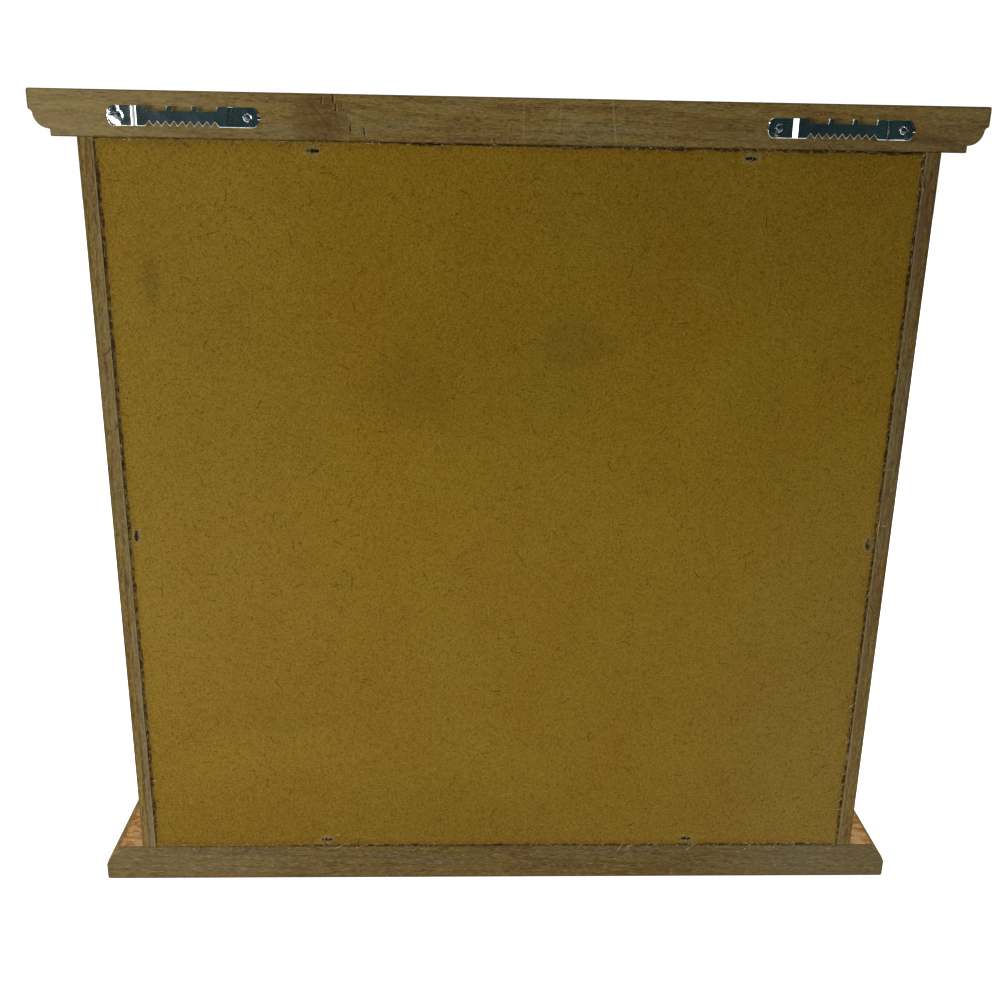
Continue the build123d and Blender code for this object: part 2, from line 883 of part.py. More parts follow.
pieces = {
    "base_board": base_board,
    "crown_board": crown_board,
    "side_left": side_left,
    "side_right": side_right,
    "top_panel": top_panel,
    "back_panel": back_panel,
    "back_staples": back_staples,
    "hanger_left": hanger_left,
    "hanger_right": hanger_right,
    "hanger_nails": hanger_nails,
    "base_screws": base_screws,
    "crown_screws": crown_screws,
    "catch_magnets": catch_magnets,
    "hinge_case_leaf_top": hinge_case_leaf_top,
    "hinge_case_leaf_bottom": hinge_case_leaf_bottom,
    "hinge_case_screws": hinge_case_screws,
    "hinge_pins": hinge_pins,
    "hinge_door_leaf_top": hinge_door_leaf_top,
    "hinge_door_leaf_bottom": hinge_door_leaf_bottom,
    "hinge_door_screws": hinge_door_screws,
    "door_stile_left": door_stile_left,
    "door_stile_right": door_stile_right,
    "door_rail_top": door_rail_top,
    "door_rail_bottom": door_rail_bottom,
    "door_glass": door_glass,
    "glass_bead_top": glass_bead_top,
    "glass_bead_bottom": glass_bead_bottom,
    "glass_bead_left": glass_bead_left,
    "glass_bead_right": glass_bead_right,
    "bead_brads": bead_brads,
    "door_knob": knob,
    "knob_screw": knob_screw,
    "strike_discs": strike_discs,
    "strike_screws": strike_screws,
}
for level, shelf in enumerate(shelves, start=1):
    pieces[f"shelf_{level}"] = shelf

for name, piece in pieces.items():
    piece.part.label = name
    export_step(piece.part, f"parts/{name}.step")
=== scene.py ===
# %% [markdown]
# # A golf ball display case, seen from behind
# The case is an oak box of grooved shelves between a moulded crown and a base. The camera
# stands behind it, so most of the picture is the unfinished back: sawn oak edges, a hardboard
# panel and two sawtooth hangers. The parts arrive from the engineering model at their real
# size and place. This lesson gives them their finishes and rebuilds the few whose small
# shapes matter.

# %% Load the frame
import math
import random

import bmesh
import bpy
from mathutils import Matrix, Vector, noise


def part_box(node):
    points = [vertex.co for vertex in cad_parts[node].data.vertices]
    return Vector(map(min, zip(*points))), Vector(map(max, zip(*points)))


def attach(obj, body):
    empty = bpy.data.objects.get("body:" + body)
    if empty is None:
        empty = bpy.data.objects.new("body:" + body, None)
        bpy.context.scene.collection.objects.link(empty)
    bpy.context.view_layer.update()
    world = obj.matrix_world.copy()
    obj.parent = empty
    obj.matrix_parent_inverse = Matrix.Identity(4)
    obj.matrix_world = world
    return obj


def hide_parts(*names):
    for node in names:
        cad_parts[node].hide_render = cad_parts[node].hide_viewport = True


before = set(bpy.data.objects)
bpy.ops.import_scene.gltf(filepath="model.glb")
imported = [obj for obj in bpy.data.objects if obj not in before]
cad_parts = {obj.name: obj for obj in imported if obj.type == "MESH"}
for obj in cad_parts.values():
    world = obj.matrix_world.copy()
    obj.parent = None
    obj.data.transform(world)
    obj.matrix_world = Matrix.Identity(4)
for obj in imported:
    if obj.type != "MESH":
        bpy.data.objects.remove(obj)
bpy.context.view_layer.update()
MM = 0.001

# %% [markdown]
# ## The camera
# The picture was taken from close by and a little above. A camera was fitted to the
# corners of the boards, which gave its lens, place and tilt, so they are plain numbers here.

# %% Place the camera
camera_data = bpy.data.cameras.new("back_view")
camera_data.lens = 40.27
camera_data.clip_start = 0.01
camera = bpy.data.objects.new("back_view", camera_data)
camera.location = (0.021816, 0.542845, 0.3688)
camera.rotation_euler = [math.radians(angle) for angle in (72.126, -1.0303, 178.2303)]
bpy.context.scene.collection.objects.link(camera)
bpy.context.scene.camera = camera
bpy.context.scene.view_settings.view_transform = "Standard"
print("lens", camera_data.lens, "mm")

# %% [markdown]
# ## Shader maths written as Python
# A procedural finish is a long sum of masks and noises. Adding each Math node by hand hides
# that sum, so a small class wraps a socket and lets Python's operators add the nodes. All
# other nodes come from one method, which takes the node's settings first and then what goes
# into its sockets.


# %% Wrap a socket
class Value:
    """A number, colour or vector that changes over a surface."""

    def __init__(self, finish, socket):
        self.finish = finish
        self.socket = socket

    def also(self, output):
        """Another output of the same node."""
        return Value(self.finish, self.socket.node.outputs[output])

    def __add__(self, other):
        return self.finish.maths("ADD", self, other)

    def __mul__(self, other):
        return self.finish.maths("MULTIPLY", self, other)

    def __sub__(self, other):
        return self.finish.maths("SUBTRACT", self, other)

    def __rsub__(self, other):
        return self.finish.maths("SUBTRACT", other, self)

    def __truediv__(self, other):
        return self.finish.maths("DIVIDE", self, other)

    __radd__ = __add__
    __rmul__ = __mul__


# %% A finish under construction
class Finish:
    """A material, its Principled shader and the nodes that feed it."""

    def __init__(self, name, **constants):
        self.material = bpy.data.materials.new(name)
        self.material.use_nodes = True
        self.tree = self.material.node_tree
        self.shader = self.tree.nodes["Principled BSDF"]
        for socket, value in constants.items():
            self.shader.inputs[socket.replace("_", " ")].default_value = value
        metres = self.node("TexCoord", output="Object")
        self.place = self.node(
            "VectorMath", {"operation": "SCALE"}, {0: metres, "Scale": 1 / MM}
        )

    def connect(self, value, socket):
        if isinstance(value, Value):
            self.tree.links.new(value.socket, socket)
        else:
            socket.default_value = value

    def node(self, kind, settings=None, sockets=None, output=0):
        """Add a node: its settings first, then the values or links of its sockets."""
        added = self.tree.nodes.new("ShaderNode" + kind)
        for name, setting in (settings or {}).items():
            setattr(added, name, setting)
        for name, value in (sockets or {}).items():
            self.connect(value, added.inputs[name])
        return Value(self, added.outputs[output])

    def maths(self, operation, *values):
        return self.node("Math", {"operation": operation}, dict(enumerate(values)))

    def parts(self, vector):
        """The three numbers of a vector."""
        return [self.node("SeparateXYZ", None, {0: vector}, axis) for axis in "XYZ"]

    def moved(self, vector, shift=(0, 0, 0), turn=(0, 0, 0), scale=(1, 1, 1)):
        """A vector scaled, turned by degrees and shifted."""
        sockets = {
            "Vector": vector,
            "Location": shift,
            "Rotation": [math.radians(angle) for angle in turn],
            "Scale": scale,
        }
        return self.node("Mapping", None, sockets)

    def noise(self, vector, scale=(1, 1, 1), detail=2.0, rough=0.5, shift=(0, 0, 0)):
        """Cloudy noise from 0 to 1 with an average of a half."""
        placed = self.moved(vector, scale=scale, shift=shift)
        sockets = {"Vector": placed, "Scale": 1.0, "Detail": detail, "Roughness": rough}
        return self.node("TexNoise", None, sockets)

    def smooth(self, value, low, high):
        """0 below low, 1 above high and a soft step between; low may be the larger."""
        sockets = {"Value": value, "From Min": low, "From Max": high}
        return self.node("MapRange", {"interpolation_type": "SMOOTHSTEP"}, sockets)

    def mixed(self, factor, first, second, blend="MIX"):
        """A colour between two colours."""
        settings = {"data_type": "RGBA", "blend_type": blend}
        return self.node("Mix", settings, {0: factor, 6: first, 7: second}, 2)

    def ramp(self, value, *stops):
        """A colour picked from stops of (place, colour)."""
        added = self.node("ValToRGB", None, {0: value})
        elements = added.socket.node.color_ramp.elements
        while len(elements) < len(stops):
            elements.new(0.5)
        for element, (position, colour) in zip(elements, stops):
            element.position = position
            element.color = colour
        return added

    def finish_with(self, colour=None, roughness=None, height=None, depth=0.1, **others):
        """Feed the shader; height is in millimetres of relief when depth is 1."""
        if colour is not None:
            self.connect(colour, self.shader.inputs["Base Color"])
        if roughness is not None:
            self.connect(roughness, self.shader.inputs["Roughness"])
        if height is not None:
            sockets = {"Height": height, "Distance": depth * MM, "Strength": 1.0}
            self.connect(self.node("Bump", None, sockets), self.shader.inputs["Normal"])
        for socket, value in others.items():
            self.connect(value, self.shader.inputs[socket.replace("_", " ")])
        return self.material


def shade(red, green, blue):
    """A colour given as the eye sees it, from 0 to 255, in the shader's linear light."""
    levels = [channel / 255 for channel in (red, green, blue)]
    return (*[((level + 0.055) / 1.055) ** 2.4 for level in levels], 1.0)


# %% Stains and strokes on the back
def spot(finish, across, up, x, z, half_width, half_height, ragged):
    """1 in the middle of an oval stain and 0 outside it."""
    far = finish.maths("POWER", (across - x) / half_width, 2)
    far = far + finish.maths("POWER", (up - z) / half_height, 2)
    return finish.smooth(far + ragged, 1.3, 0.2)


def stroke(finish, across, up, x, z, length, lean, width, wobble):
    """1 on a thin, nearly upright stroke and 0 beside it; lean is its slope off upright."""
    aside = across - x - (up - z) * lean + wobble
    thin = finish.smooth(finish.maths("ABSOLUTE", aside), width, width * 0.3)
    return thin * finish.smooth(finish.maths("ABSOLUTE", up - z), length / 2, length * 0.3)


# %% [markdown]
# ## The studio
# A pale floor and a white surround light the case softly from all sides. The camera side is
# darker, as in the photograph: a dark card stands behind the camera, unseen by it, and takes
# away the light from there. Bright plated metal shows that card as its deep dark reflections.
# One soft lamp at the left gives the fall of light across the back. Two more, above the case
# and in front of it, light the crown and the door.

# %% White surround
DARK_BELOW, WHITE_ABOVE, DARK_LEVEL, SKY_STRENGTH = -0.45, -0.20, 0.10, 1.12
world = bpy.data.worlds.new("surround")
bpy.context.scene.world = world
world.use_nodes = True
sky = world.node_tree
direction = sky.nodes.new("ShaderNodeTexCoord")
height = sky.nodes.new("ShaderNodeSeparateXYZ")
dimmed = sky.nodes.new("ShaderNodeMapRange")
dimmed.inputs["From Min"].default_value = DARK_BELOW
dimmed.inputs["From Max"].default_value = WHITE_ABOVE
dimmed.inputs["To Min"].default_value = DARK_LEVEL
sky.links.new(direction.outputs["Generated"], height.inputs[0])
sky.links.new(height.outputs["Z"], dimmed.inputs["Value"])
sky.links.new(dimmed.outputs[0], sky.nodes["Background"].inputs["Color"])
sky.nodes["Background"].inputs["Strength"].default_value = SKY_STRENGTH
print("surround of strength", SKY_STRENGTH)


# %% Flat squares of the studio
def as_mesh(made, name):
    """Turn a bmesh into a mesh and let the bmesh go."""
    mesh = bpy.data.meshes.new(name)
    made.to_mesh(mesh)
    made.free()
    return mesh


def sheet(name, size, place, turn=(0, 0, 0)):
    """A flat square of the studio, turned by degrees; it isn't part of the case."""
    made = bmesh.new()
    bmesh.ops.create_grid(made, x_segments=1, y_segments=1, size=0.5)
    turned = Matrix.Translation(place)
    for angle, axis in zip(turn, "XYZ"):
        turned = turned @ Matrix.Rotation(math.radians(angle), 4, axis)
    scaled = Matrix.Diagonal((*size, 1, 1))
    bmesh.ops.transform(made, matrix=turned @ scaled, verts=made.verts)
    stage = bpy.data.objects.new(name, as_mesh(made, name))
    bpy.context.scene.collection.objects.link(stage)
    return stage


# %% Pale floor
FLOOR_DEEP = (0.93, 0.93, 0.93, 1)
FLOOR_PALE = (0.96, 0.96, 0.96, 1)
floor = sheet("floor", (12, 12), (0, 0, 0))
floor.visible_diffuse = False
floor_paint = Finish(
    "pale_floor",
    Roughness=0.9,
    Specular_IOR_Level=0.2,
    Emission_Color=(1, 1, 1, 1),
    Emission_Strength=0.75,
)
floor_cloud = floor_paint.noise(floor_paint.place, scale=(0.004, 0.004, 0.004))
floor_tone = floor_paint.mixed(floor_cloud, FLOOR_DEEP, FLOOR_PALE)
floor.data.materials.append(floor_paint.finish_with(floor_tone))
print("floor laid")

# %% Dark cards behind the camera and at the far side
CARD_BLACK = (0.003, 0.004, 0.005, 1)
CARD_TEAL = (0.022, 0.052, 0.055, 1)
back_card = sheet("dark_card", (2.6, 1.7), (0, 0.95, 0.86), turn=(90, 0, 0))
side_card = sheet("side_card", (0.9, 0.9), (-1.1, 0.45, 0.60), turn=(0, 90, 0))
card_paint = Finish("dark_card", Roughness=1.0, Specular_IOR_Level=0.0)
card_cloud = card_paint.noise(card_paint.place, scale=(0.014, 0.014, 0.014), detail=3)
card_tone = card_paint.ramp(card_cloud, (0.42, CARD_BLACK), (0.60, CARD_TEAL))
card_finish = card_paint.finish_with(card_tone)
for card in (back_card, side_card):
    card.visible_camera = False
    card.data.materials.append(card_finish)
    print("hung:", card.name)


# %% Soft lamps
def lamp(name, place, target, size, power):
    """A square soft light that points at a target."""
    data = bpy.data.lights.new(name, "AREA")
    data.size = size
    data.energy = power
    light = bpy.data.objects.new(name, data)
    light.location = place
    light.rotation_euler = (Vector(place) - Vector(target)).to_track_quat("Z", "Y").to_euler()
    light.visible_camera = False
    bpy.context.scene.collection.objects.link(light)
    print("lamp:", name, power, "W")


lamp("left_lamp", (0.80, 0.80, 0.22), (0.05, 0.0, 0.15), 0.5, 4.6)
lamp("top_lamp", (0.3, -0.3, 1.8), (0, 0, 0), 1.2, 7.6)
lamp("front_lamp", (-0.7, -1.3, 2.0), (0, 0, 0.18), 0.8, 17.0)

# %% [markdown]
# ## Oak
# Oak is ring-porous: each year's growth begins with a row of open vessels, cut along their
# length into fine dark dashes, and ends in dense plain wood. A flat picture of that would
# run wrongly over the ends of a board, so the pattern here is a solid one. The rings are
# cylinders about the heart of the tree, which lies some way off each board, and the dashes
# are noise drawn out along the grain. The back was left as the saw left it, dull and grey,
# and everything that shows from the front is varnished to a honey colour.


# %% A solid oak pattern
def knot_swelling(wood, x, z, height, reach):
    """Rings pushed outwards around a knot, so that the grain flows round it."""
    across, _, up = wood.parts(wood.place)
    far = wood.maths("POWER", (across - x) / (reach * 1.9), 2)
    far = far + wood.maths("POWER", (up - z) / reach, 2)
    return wood.maths("EXPONENT", far * -1.0) * height


def oak_grain(wood, upright, heart, ring=2.6, tilt=1.5, wander=7.0, knot=None):
    """Millimetres along and across the grain, and what the rings and vessels do there."""
    turn = (0, 90 + tilt, tilt / 2) if upright else (0, tilt, tilt / 2)
    grain = wood.moved(wood.place, shift=heart, turn=turn)
    across = wood.node("VectorMath", {"operation": "MULTIPLY"}, {0: grain, 1: (0, 1, 1)})
    radius = wood.node("VectorMath", {"operation": "LENGTH"}, {0: across}, "Value")
    radius = radius + wood.noise(grain, (0.006, 0.03, 0.03), 2) * wander
    radius = radius + wood.noise(grain, (0.05, 0.25, 0.25), 2) * 1.6
    if knot is not None:
        radius = radius + knot_swelling(wood, *knot)
    year = wood.maths("FRACT", radius / ring)
    early = wood.smooth(year, 0.0, 0.1) * wood.smooth(year, 0.62, 0.16)
    dashes = wood.noise(grain, (0.16, 2.6, 2.6), 3, 0.6)
    vessels = wood.smooth(dashes, 0.55, 0.66) * (0.25 + early * 0.75)
    flecks = wood.smooth(wood.noise(grain, (0.33, 1.3, 3.1), 2, shift=(31, 7, 5)), 0.60, 0.72)
    streaks = wood.noise(grain, (0.018, 0.55, 0.55), 4, 0.65)
    clouds = wood.noise(grain, (0.004, 0.03, 0.03), 2, shift=(11, 3, 9))
    return {
        "grain": grain,
        "early": early,
        "vessels": vessels,
        "flecks": flecks,
        "streaks": streaks,
        "clouds": clouds,
    }


# %% Raw and varnished colours
HONEY_LIGHT = shade(188, 141, 76)
HONEY_DEEP = shade(154, 104, 50)
HONEY_FLAME = shade(134, 78, 34)
HONEY_PORE = shade(80, 42, 18)
HONEY_PALE = shade(202, 178, 123)
# Painted shade for the base's rounded end edges.
HONEY_END_SHADE = shade(92, 72, 46)
RAW_LIGHT = shade(174, 145, 80)
RAW_DEEP = shade(139, 109, 50)
RAW_PORE = shade(64, 46, 22)
RAW_PALE = shade(202, 180, 132)
RAW_GREY = shade(145, 133, 102)
RAW_RED = shade(138, 101, 62)
print("oak colours: 6 varnished, 6 raw")


# %% Plain and sawn wood
def oak_colours(wood, seen, light, deep, pore, vessel_depth):
    """Plain wood, deepened where a year begins, with the vessels drawn on top."""
    tone = seen["early"] * 0.42 + seen["streaks"] * 0.75 - 0.15
    plain = wood.mixed(tone, light, deep)
    clouded = wood.mixed((seen["clouds"] - 0.4) * 0.9, plain, deep)
    flecked = wood.mixed(seen["flecks"] * 0.3, clouded, light)
    return wood.mixed(seen["vessels"] * vessel_depth, flecked, pore)


def sawn_colours(wood, seen):
    """Raw wood with red and grey patches, fine specks and short dark dashes."""
    grain = seen["grain"]
    plain = oak_colours(wood, seen, RAW_LIGHT, RAW_DEEP, RAW_PORE, 0.4)
    patches = wood.noise(grain, (0.02, 0.14, 0.14), 3, 0.6, shift=(17, 2, 6))
    specks = wood.noise(grain, (0.7, 1.7, 1.7), 3, 0.65)
    dashes = wood.noise(grain, (0.17, 1.3, 1.3), 3, 0.6, shift=(2, 9, 4))
    plain = wood.mixed(wood.smooth(patches, 0.50, 0.66) * 0.6, plain, RAW_RED)
    plain = wood.mixed(wood.smooth(patches, 0.50, 0.34) * 0.4, plain, RAW_GREY)
    plain = wood.mixed(wood.smooth(specks, 0.54, 0.70) * 0.45, plain, RAW_PORE)
    plain = wood.mixed(wood.smooth(specks, 0.48, 0.32) * 0.4, plain, RAW_PALE)
    plain = wood.mixed(wood.smooth(dashes, 0.56, 0.66) * 0.5, plain, RAW_PORE)
    return plain, specks * 1.2 - wood.smooth(dashes, 0.58, 0.70) * 0.7


# %% Varnish that has faded at the ends of the base
COAT = 0.22
# Where each change begins and is whole, in millimetres: X off the middle or, for depth, Y.
FADED_ACROSS = (130, 185)
FADED_DEPTH = (-38, -12)
SHADED_ENDS = (194.5, 197)
DULL_ENDS = (188, 194)


def faded_ends(wood, seen, varnished, flames):
    """Varnish with pale, flamed ends, painted shade on the end edges, and where it keeps its
    gloss.
    """
    across, depth, _ = wood.parts(wood.place)
    off_middle = wood.maths("ABSOLUTE", across)
    faded = wood.smooth(off_middle, *FADED_ACROSS) * wood.smooth(depth, *FADED_DEPTH) * flames
    varnished = wood.mixed(faded * 0.6, varnished, HONEY_PALE)
    tongues = wood.noise(seen["grain"], (0.14, 0.30, 0.30), 4, 0.8, shift=(3, 5, 8))
    varnished = wood.mixed(wood.smooth(tongues, 0.49, 0.54) * faded, varnished, HONEY_FLAME)
    # The outermost rounded ends, which the left lamp lights, get painted shade.
    varnished = wood.mixed(wood.smooth(off_middle, *SHADED_ENDS) * flames, varnished, HONEY_END_SHADE)
    return varnished, 1 - wood.smooth(off_middle, *DULL_ENDS) * flames * 1.4


# %% The whole oak finish
def oak(name, heart, upright=False, raw=None, marks=None, flames=0.0, **grain):
    """An oak finish. raw is a function that masks the sawn faces, marks recolours them."""
    wood = Finish(name, Coat_Roughness=0.12, Specular_IOR_Level=0.0)
    seen = oak_grain(wood, upright, heart, **grain)
    varnished = oak_colours(wood, seen, HONEY_LIGHT, HONEY_DEEP, HONEY_PORE, 0.75)
    varnished, coated = faded_ends(wood, seen, varnished, flames)
    relief = seen["streaks"] * 0.25 - seen["vessels"]
    gloss = 0.36 + seen["vessels"] * 0.25 + seen["streaks"] * 0.1
    if raw is None:
        return wood.finish_with(varnished, gloss, relief, 0.06, Coat_Weight=COAT)
    sawn = raw(wood)
    dull, rough_grain = sawn_colours(wood, seen)
    if marks is not None:
        dull = marks(wood, seen, dull)
    colour = wood.mixed(sawn, varnished, dull)
    rough = gloss + sawn * (0.85 - gloss)
    coat = (1 - sawn) * coated * COAT
    return wood.finish_with(colour, rough, relief + sawn * rough_grain, 0.09, Coat_Weight=coat)


# %% Where the saw left its face
def corners(node):
    """A part's lowest and highest corners, in millimetres."""
    return [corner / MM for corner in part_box(node)]


back_face = corners("crown_board")[1].y
print("back face at", round(back_face, 2), "mm")


def sawn_back(wood):
    """1 on the sawn back face, which the varnish only reaches over the edge."""
    depth = wood.parts(wood.place)[1]
    ragged = wood.noise(wood.place, (0.35, 0.35, 0.35), 3) * 0.5
    return wood.smooth(depth + ragged, back_face - 0.45, back_face - 0.05)


# %% [markdown]
# ## What years of use left on the back
# A knot with cracks crosses the crown, a row of pale scratches lies beside it, and dirt has
# settled along the edges of every sawn face. These marks are few and each has its place, so
# they are small tables of places and sizes in millimetres: X, Z, length, lean, width and, for
# a scratch, how plain it is.

# %% Knot, cracks and scratches of the crown
KNOT_X, KNOT_Z, KNOT_LEAN = 82.5, 374.5, 50
KNOT_BROWN = shade(116, 82, 40)
KNOT_DARK = shade(78, 50, 20)
CRACK_DARK = shade(40, 26, 10)
CRACKS = (
    (81.4, 383.2, 3.4, -0.2, 0.4),
    (76.5, 383.9, 4.4, 0.02, 0.5),
    (75.6, 380.2, 3.6, 0.0, 0.45),
    (73.0, 381.0, 1.5, 0.0, 0.35),
    (71.1, 376.2, 1.2, 0.1, 0.35),
    (69.6, 371.8, 4.0, -0.06, 0.42),
    (73.0, 369.2, 1.6, -1.4, 0.28),
    (63.7, 370.8, 3.8, 0.05, 0.42),
)
SCRATCHES = (
    (-3.5, 376.0, 20.0, 0.0, 0.6, 0.22),
    (-19.0, 379.0, 15.0, -0.04, 0.7, 0.26),
    (-42.0, 376.0, 24.0, 0.14, 0.5, 0.40),
    (-36.0, 378.0, 7.0, -0.5, 0.4, 0.18),
    (-64.0, 371.0, 8.0, 0.0, 0.5, 0.22),
)
CHAFED_X, CHAFED_Z = -26, 377.3
print("cracks:", len(CRACKS), "scratches:", len(SCRATCHES))


# %% Dirt along the edges and the marks of the saw
def rim(wood, node, width):
    """1 along the outline of a board's back face, where dirt settles."""
    low, high = corners(node)
    across, _, up = wood.parts(wood.place)
    sideways = wood.maths("MINIMUM", across - low.x, high.x - across)
    upwards = wood.maths("MINIMUM", up - low.z, high.z - up)
    return wood.smooth(wood.maths("MINIMUM", sideways, upwards), width, width * 0.3)


def ticked(wood, seen, tone, strength):
    """Short dark and pale ticks of torn fibre, which the saw leaves along the grain."""
    ticks = wood.noise(seen["grain"], (0.3, 1.5, 1.5), 3, 0.75, shift=(6, 3, 1))
    tone = wood.mixed(wood.smooth(ticks, 0.53, 0.66) * strength, tone, RAW_PORE)
    return wood.mixed(wood.smooth(ticks, 0.46, 0.33) * strength, tone, RAW_PALE)


# %% Marks of the crown
def crown_marks(wood, seen, dull):
    """The crown's sawn face: painted sheen and painted shade, the knot, cracks and scratches.
    """
    across, _, up = wood.parts(wood.place)
    # Paler towards +X, the end nearest the left lamp: painted sheen.
    tone = wood.mixed(wood.smooth(across, 60, 210) * 0.42, dull, RAW_PALE)
    # Darker between the middle and the -X end, away from the left lamp: painted shade.
    crown_painted_shade = wood.smooth(across, -30, -110) * wood.smooth(across, -190, -150)
    tone = wood.mixed(crown_painted_shade * 0.25, tone, RAW_DEEP)
    tone = wood.mixed(wood.smooth(across, -160, -200) * 0.12, tone, RAW_GREY)
    tone = ticked(wood, seen, tone, 0.3)
    leaning = wood.moved(wood.place, turn=(0, KNOT_LEAN, 0))
    fibres = wood.noise(leaning, (0.07, 0.4, 0.6), 4, 0.6)
    stain = spot(wood, across, up, KNOT_X, KNOT_Z, 13, 15, (fibres - 0.5) * 1.8)
    tone = wood.mixed(stain * 0.5, tone, KNOT_BROWN)
    tone = wood.mixed(stain * wood.smooth(fibres, 0.50, 0.66) * 0.45, tone, KNOT_DARK)
    tone = wood.mixed(stain * wood.smooth(fibres, 0.46, 0.34) * 0.25, tone, RAW_LIGHT)
    wobble = (wood.noise(wood.place, (0.8, 0.8, 0.8), 2) - 0.5) * 1.1
    # A pale line beside each crack is a painted highlight on its lip; the pale scratches below
    # are real.
    for x, *crack in CRACKS:
        highlight_and_scratch = stroke(wood, across, up, x - 0.5, *crack, wobble)
        tone = wood.mixed(highlight_and_scratch * 0.45, tone, RAW_PALE)
    for crack in CRACKS:
        gap = stroke(wood, across, up, *crack, wobble)
        tone = wood.mixed(gap * 0.9, tone, CRACK_DARK)
    for *scratch, plain in SCRATCHES:
        highlight_and_scratch = stroke(wood, across, up, *scratch, wobble)
        tone = wood.mixed(highlight_and_scratch * plain, tone, RAW_PALE)
    chafed = spot(wood, across, up, CHAFED_X, CHAFED_Z, 7, 3, (fibres - 0.5) * 2)
    tone = wood.mixed(chafed * 0.2, tone, RAW_PALE)
    return wood.mixed(rim(wood, "crown_board", 0.9) * 0.4, tone, RAW_PORE)


# %% Marks of the base and the sides
BASE_SHADE = shade(66, 52, 34)
# Millimetres off the middle: where a lip's two tones part, and its inner edge.
LIP_PARTING = 180.5
LIP_EDGE = 178.0


def base_marks(wood, seen, dull):
    """The base's sawn face: shaded, greyer to both ends and reddish along its foot."""
    across, _, up = wood.parts(wood.place)
    middle = wood.smooth(wood.maths("ABSOLUTE", across), 150, 60)
    tone = wood.mixed(0.3 + middle * 0.07, dull, BASE_SHADE)
    tone = wood.mixed(wood.smooth(across, 60, 180) * 0.3, tone, RAW_GREY)
    tone = wood.mixed(wood.smooth(across, -80, -180) * 0.45, tone, RAW_GREY)
    tone = ticked(wood, seen, tone, 0.42)
    tone = wood.mixed(wood.smooth(up, 5, 0.5) * 0.25, tone, RAW_RED)
    return wood.mixed(rim(wood, "base_board", 0.9) * 0.4, tone, RAW_PORE)


def side_marks(wood, seen, dull):
    """The sides' sawn lips: two tones that part along the middle, with rusty patches."""
    across, _, up = wood.parts(wood.place)
    lip = wood.maths("ABSOLUTE", across) + (seen["streaks"] - 0.5) * 3.0
    left = wood.smooth(across, -1, 1)
    low = wood.smooth(up, 240, 50)
    pale = 0.22 + left * low * 0.4
    inner = wood.smooth(lip, LIP_PARTING + 0.1, LIP_PARTING - 0.9)
    tone = wood.mixed(inner * pale, dull, RAW_GREY)
    parting = wood.smooth(wood.maths("ABSOLUTE", lip - LIP_PARTING), 0.8, 0.1)
    tone = wood.mixed(parting * (0.1 + left * low * 0.3), tone, RAW_PORE)
    outer = wood.smooth(lip, LIP_PARTING + 1.3, LIP_PARTING + 3.5)
    tone = wood.mixed(outer * 0.3, tone, RAW_PORE)
    rusty = wood.noise(wood.place, (0.25, 0.25, 0.05), 4, 0.7, shift=(7, 1, 3))
    tone = wood.mixed(wood.smooth(rusty, 0.46, 0.62) * (0.45 - left * 0.2), tone, RAW_RED)
    tone = wood.mixed(wood.smooth(rusty, 0.40, 0.30) * 0.35, tone, RAW_PORE)
    edge = wood.smooth(wood.maths("ABSOLUTE", across), LIP_EDGE + 0.2, LIP_EDGE - 0.2)
    tone = wood.mixed(edge * 0.4, tone, RAW_PALE)
    shaded = wood.smooth(up, 100, 360) * (1 - left)
    return ticked(wood, seen, wood.mixed(shaded * 0.2, tone, RAW_PORE), 0.35)


# %% [markdown]
# ## Working on the parts
# A part from the engineering model is a set of loose triangles with knife-sharp edges. Real
# boards have their edges knocked off with sandpaper, and it is that small round which
# catches the light. So each wooden part is copied, its triangles are joined into whole
# faces again, and its long edges are bevelled.


# %% A piece of the case
def show(made, name, finish, body, slot, *replaced, crease=50):
    """Turn a bmesh into a piece of the case; edges over crease degrees stay sharp."""
    mesh = as_mesh(made, name)
    mesh.shade_smooth()
    mesh.set_sharp_from_angle(angle=math.radians(crease))
    mesh.materials.append(finish)
    piece = bpy.data.objects.new(name, mesh)
    bpy.context.scene.collection.objects.link(piece)
    flatten = piece.modifiers.new("flat_faces", "WEIGHTED_NORMAL")
    flatten.keep_sharp = True
    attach(piece, body)
    if replaced:
        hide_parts(*replaced)
    return piece


# %% Round the edges of a copy
def joined_copy(node):
    """A copy of a part's mesh with its loose triangles joined into whole faces."""
    made = bmesh.new()
    made.from_mesh(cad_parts[node].data)
    bmesh.ops.remove_doubles(made, verts=made.verts, dist=0.002 * MM)
    bmesh.ops.dissolve_limit(
        made, angle_limit=math.radians(0.3), verts=made.verts, edges=made.edges
    )
    return made


def bevelled(made, sharp, ease, segments=2):
    """Round or chamfer sharp edges by ease, in mm."""
    bmesh.ops.bevel(
        made,
        geom=sharp,
        offset=ease * MM,
        affect="EDGES",
        segments=segments,
        profile=0.5,
        material=-1,
        clamp_overlap=False,
    )


def eased(node, finish, body, slot, ease=0.4, shortest=8.0):
    """The part with every sharp edge longer than shortest rounded by ease, in mm."""
    made = joined_copy(node)
    sharp = [
        edge
        for edge in made.edges
        if len(edge.link_faces) == 2
        and edge.calc_length() > shortest * MM
        and edge.calc_face_angle() > math.radians(35)
    ]
    bevelled(made, sharp, ease)
    return show(made, node + "_eased", finish, body, slot, node)


